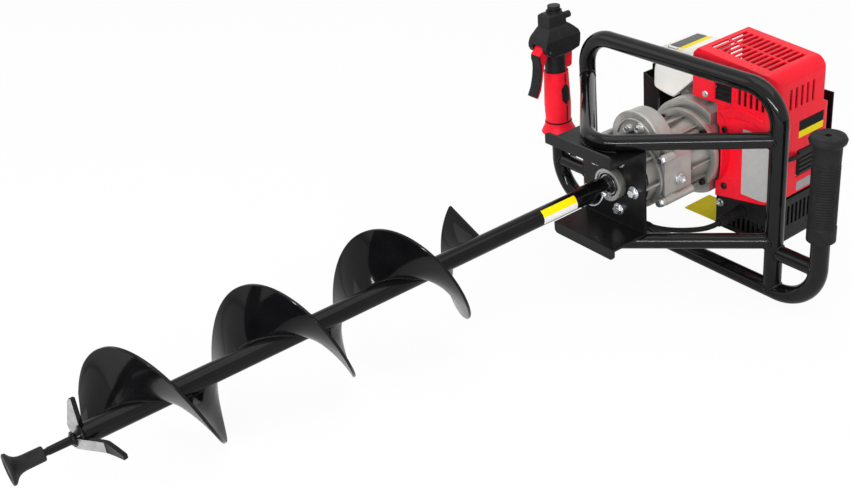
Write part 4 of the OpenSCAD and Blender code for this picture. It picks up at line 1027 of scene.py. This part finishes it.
class AUGER_OT_plug_lead(bpy.types.Operator):
    """Ignition lead from the shroud to the plug cap"""

    bl_idname = "auger.plug_lead"
    bl_label = "Plug lead"

    def execute(self, context):
        route = [(132, 60, 10), (139, 64, 9), (143, 72, 8.5), (144, 84, 8), (142, 94, 6), (136, 102, 2)]
        lead_r = 3.2
        bm = bmesh.new()
        sweep(bm, curve_points(route, 40), lead_r, 12)
        piece("plug_lead", bm, finish(soft_rubber), "frame", smooth=60)
        return {"FINISHED"}


# Finishes of the solids

NODE_FINISH = {
    tube_paint: "main_hoop handlebar upper_brace lower_brace cross_tubes",
    sheet_paint: "mounting_bracket rear_guard",
    drill_paint: "drill_tube drill_flight drill_cutters pilot_point",
    zinc_plate: "bracket_bolts lock_pin lock_bow gearbox_bolts trigger_pin",
    sand_casting: "gearbox_front gearbox_housing clutch_housing crankcase finned_cylinder carburettor "
                  "flywheel",
    machined_steel: "output_shaft output_gear output_bearing layshaft clutch_drum clutch_shoes crankshaft "
                    "spark_plug muffler",
    blackened_steel: "clutch_screws shroud_screws",
    red_shell: "engine_shroud",
    red_grip: "throttle_grip throttle_trigger safety_lever",
    satin_moulding: "lower_cover starter_housing fuel_cap throttle_head stop_button hold_button plug_cap "
                    "throttle_cable",
    soft_rubber: "right_grip tip_cap cable_boot grip_pad",
    milky_plastic: "fuel_tank",
}


class AUGER_OT_solid_finishes(bpy.types.Operator):
    """Finishes on the machine's solids"""

    bl_idname = "auger.solid_finishes"
    bl_label = "Finishes of the solids"

    def execute(self, context):
        for make, names in NODE_FINISH.items():
            for name in names.split():
                node = frame["nodes"][name]
                node.data.materials.clear()
                node.data.materials.append(finish(make))
        return {"FINISHED"}


# Stage

def area_lamp(name, place, target, size, power):
    """A rectangular lamp that points at the target."""
    data = bpy.data.lights.new(name, "AREA")
    data.shape = "RECTANGLE"
    data.size, data.size_y = size
    data.energy = power
    lamp = bpy.data.objects.new(name, data)
    bpy.context.scene.collection.objects.link(lamp)
    lamp.location = place
    lamp.rotation_euler = (Vector(target) - Vector(place)).to_track_quat("-Z", "Y").to_euler()


def combine(tree, operation, first, second):
    """A value worked out from a socket and a second socket or number."""
    node = tree.nodes.new("ShaderNodeMath")
    node.operation = operation
    tree.links.new(first, node.inputs[0])
    if isinstance(second, float):
        node.inputs[1].default_value = second
    else:
        tree.links.new(second, node.inputs[1])
    return node.outputs[0]


def mix_surface(tree, output, share, lit, plain):
    """Shows the plain shader instead of the lit one by the given share."""
    mix = tree.nodes.new("ShaderNodeMixShader")
    tree.links.new(share, mix.inputs["Fac"])
    tree.links.new(lit.outputs[0], mix.inputs[1])
    tree.links.new(plain.outputs[0], mix.inputs[2])
    tree.links.new(mix.outputs[0], tree.nodes[output].inputs["Surface"])


class AUGER_OT_stage(bpy.types.Operator):
    """Floor, even white world, soft lamps and the camera"""

    bl_idname = "auger.stage"
    bl_label = "Stage"

    def execute(self, context):
        scene = context.scene
        sizes = stage_sizes()
        scene.view_settings.view_transform = "Standard"
        self.make_world(scene, sizes)
        self.make_floor(sizes)
        area_lamp("over_lamp", place=(0.2, 0.1, 2.2), target=(0, 0, 0),
                  size=(1.6, 2.4), power=sizes.key_power)
        area_lamp("drill_lamp", place=(-1.6, -1.3, 1.3), target=(0, -0.2, 0.1),
                  size=(1.2, 1.2), power=sizes.fill_power)
        area_lamp("strip_lamp", place=(1.0, -1.5, 0.75), target=(0, 0, 0.15),
                  size=(1.8, 0.12), power=sizes.strip_power)
        self.make_camera(scene, sizes)
        return {"FINISHED"}

    def make_world(self, scene, sizes):
        """Even light, and plain white wherever the world is seen or mirrored."""
        world = bpy.data.worlds.new("even_white")
        scene.world = world
        world.use_nodes = True
        tree = world.node_tree
        light = tree.nodes["Background"]
        light.inputs["Color"].default_value = WHITE
        light.inputs["Strength"].default_value = sizes.world_light
        white = tree.nodes.new("ShaderNodeBackground")
        white.inputs["Color"].default_value = WHITE
        rays = tree.nodes.new("ShaderNodeLightPath")
        seen = combine(tree, "MAXIMUM", rays.outputs["Is Camera Ray"], rays.outputs["Is Glossy Ray"])
        seen = combine(tree, "MAXIMUM", seen, rays.outputs["Is Transmission Ray"])
        mix_surface(tree, "World Output", seen, light, white)

    def make_floor(self, sizes):
        """A pale floor that looks nearly white and keeps a faint shadow."""
        half_size, below, white_share = 12, 0.0003, 0.94
        bm = bmesh.new()
        bmesh.ops.create_grid(bm, x_segments=1, y_segments=1, size=half_size)
        mesh = bpy.data.meshes.new("floor")
        bm.to_mesh(mesh)
        bm.free()
        floor = bpy.data.objects.new("floor", mesh)
        bpy.context.scene.collection.objects.link(floor)
        floor.location.z = -below
        material, tree, shader = new_finish("pale_floor")
        shader.inputs["Base Color"].default_value = (*sizes.floor_colour, 1)
        shader.inputs["Roughness"].default_value = 0.9
        shader.inputs["Specular IOR Level"].default_value = 0.1
        white = tree.nodes.new("ShaderNodeEmission")
        white.inputs["Color"].default_value = WHITE
        rays = tree.nodes.new("ShaderNodeLightPath")
        share = combine(tree, "MULTIPLY", rays.outputs["Is Camera Ray"], white_share)
        mix_surface(tree, "Material Output", share, shader, white)
        mesh.materials.append(material)

    def make_camera(self, scene, sizes):
        data = bpy.data.cameras.new("photo_camera")
        data.sensor_width = 36
        data.lens = sizes.lens
        data.shift_x, data.shift_y = sizes.shift
        data.clip_start, data.clip_end = 0.05, 50
        camera = bpy.data.objects.new("photo_camera", data)
        scene.collection.objects.link(camera)
        camera.matrix_world = (
            Matrix.Translation(HOOP_CENTRE + Vector(sizes.camera_place))
            @ Matrix.Rotation(sizes.camera_turn, 4, "Z")
            @ Matrix.Rotation(math.pi / 2 - sizes.camera_drop, 4, "X")
            @ Matrix.Rotation(sizes.camera_roll, 4, "Z"))
        scene.camera = camera


class AUGER_PT_panel(bpy.types.Panel):
    """The auger's sizes and its pieces"""

    bl_label = "Earth auger"
    bl_idname = "AUGER_PT_panel"
    bl_space_type = "VIEW_3D"
    bl_region_type = "UI"
    bl_category = "Auger"

    def draw(self, context):
        for group in (context.scene.auger_stage, context.scene.auger_colours, context.scene.auger_trim):
            box = self.layout.box()
            for name in group.__annotations__:
                box.prop(group, name)
        for operator in OPERATORS:
            self.layout.operator(operator.bl_idname)


OPERATORS = (
    AUGER_OT_stage, AUGER_OT_solid_finishes, AUGER_OT_conduit, AUGER_OT_frame_welds, AUGER_OT_flight,
    AUGER_OT_drill_sticker, AUGER_OT_engine_stickers, AUGER_OT_tag, AUGER_OT_fastenings,
    AUGER_OT_handle_trim, AUGER_OT_plug_lead, AUGER_OT_tip, AUGER_OT_shroud_trim, AUGER_OT_gearbox_trim,
)
GROUPS = {"auger_stage": AugerStage, "auger_colours": AugerColours, "auger_trim": AugerTrim}


def register():
    for group in GROUPS.values():
        bpy.utils.register_class(group)
    for name, group in GROUPS.items():
        setattr(bpy.types.Scene, name, bpy.props.PointerProperty(type=group))
    for cls in (*OPERATORS, AUGER_PT_panel):
        bpy.utils.register_class(cls)


def unregister():
    for cls in reversed((*OPERATORS, AUGER_PT_panel)):
        bpy.utils.unregister_class(cls)
    for name in GROUPS:
        delattr(bpy.types.Scene, name)
    for group in reversed(list(GROUPS.values())):
        bpy.utils.unregister_class(group)


def main():
    register()
    for operator in OPERATORS:
        group, name = operator.bl_idname.split(".")
        getattr(getattr(bpy.ops, group), name)()
    bpy.context.view_layer.update()


if __name__ == "__main__":
    main()
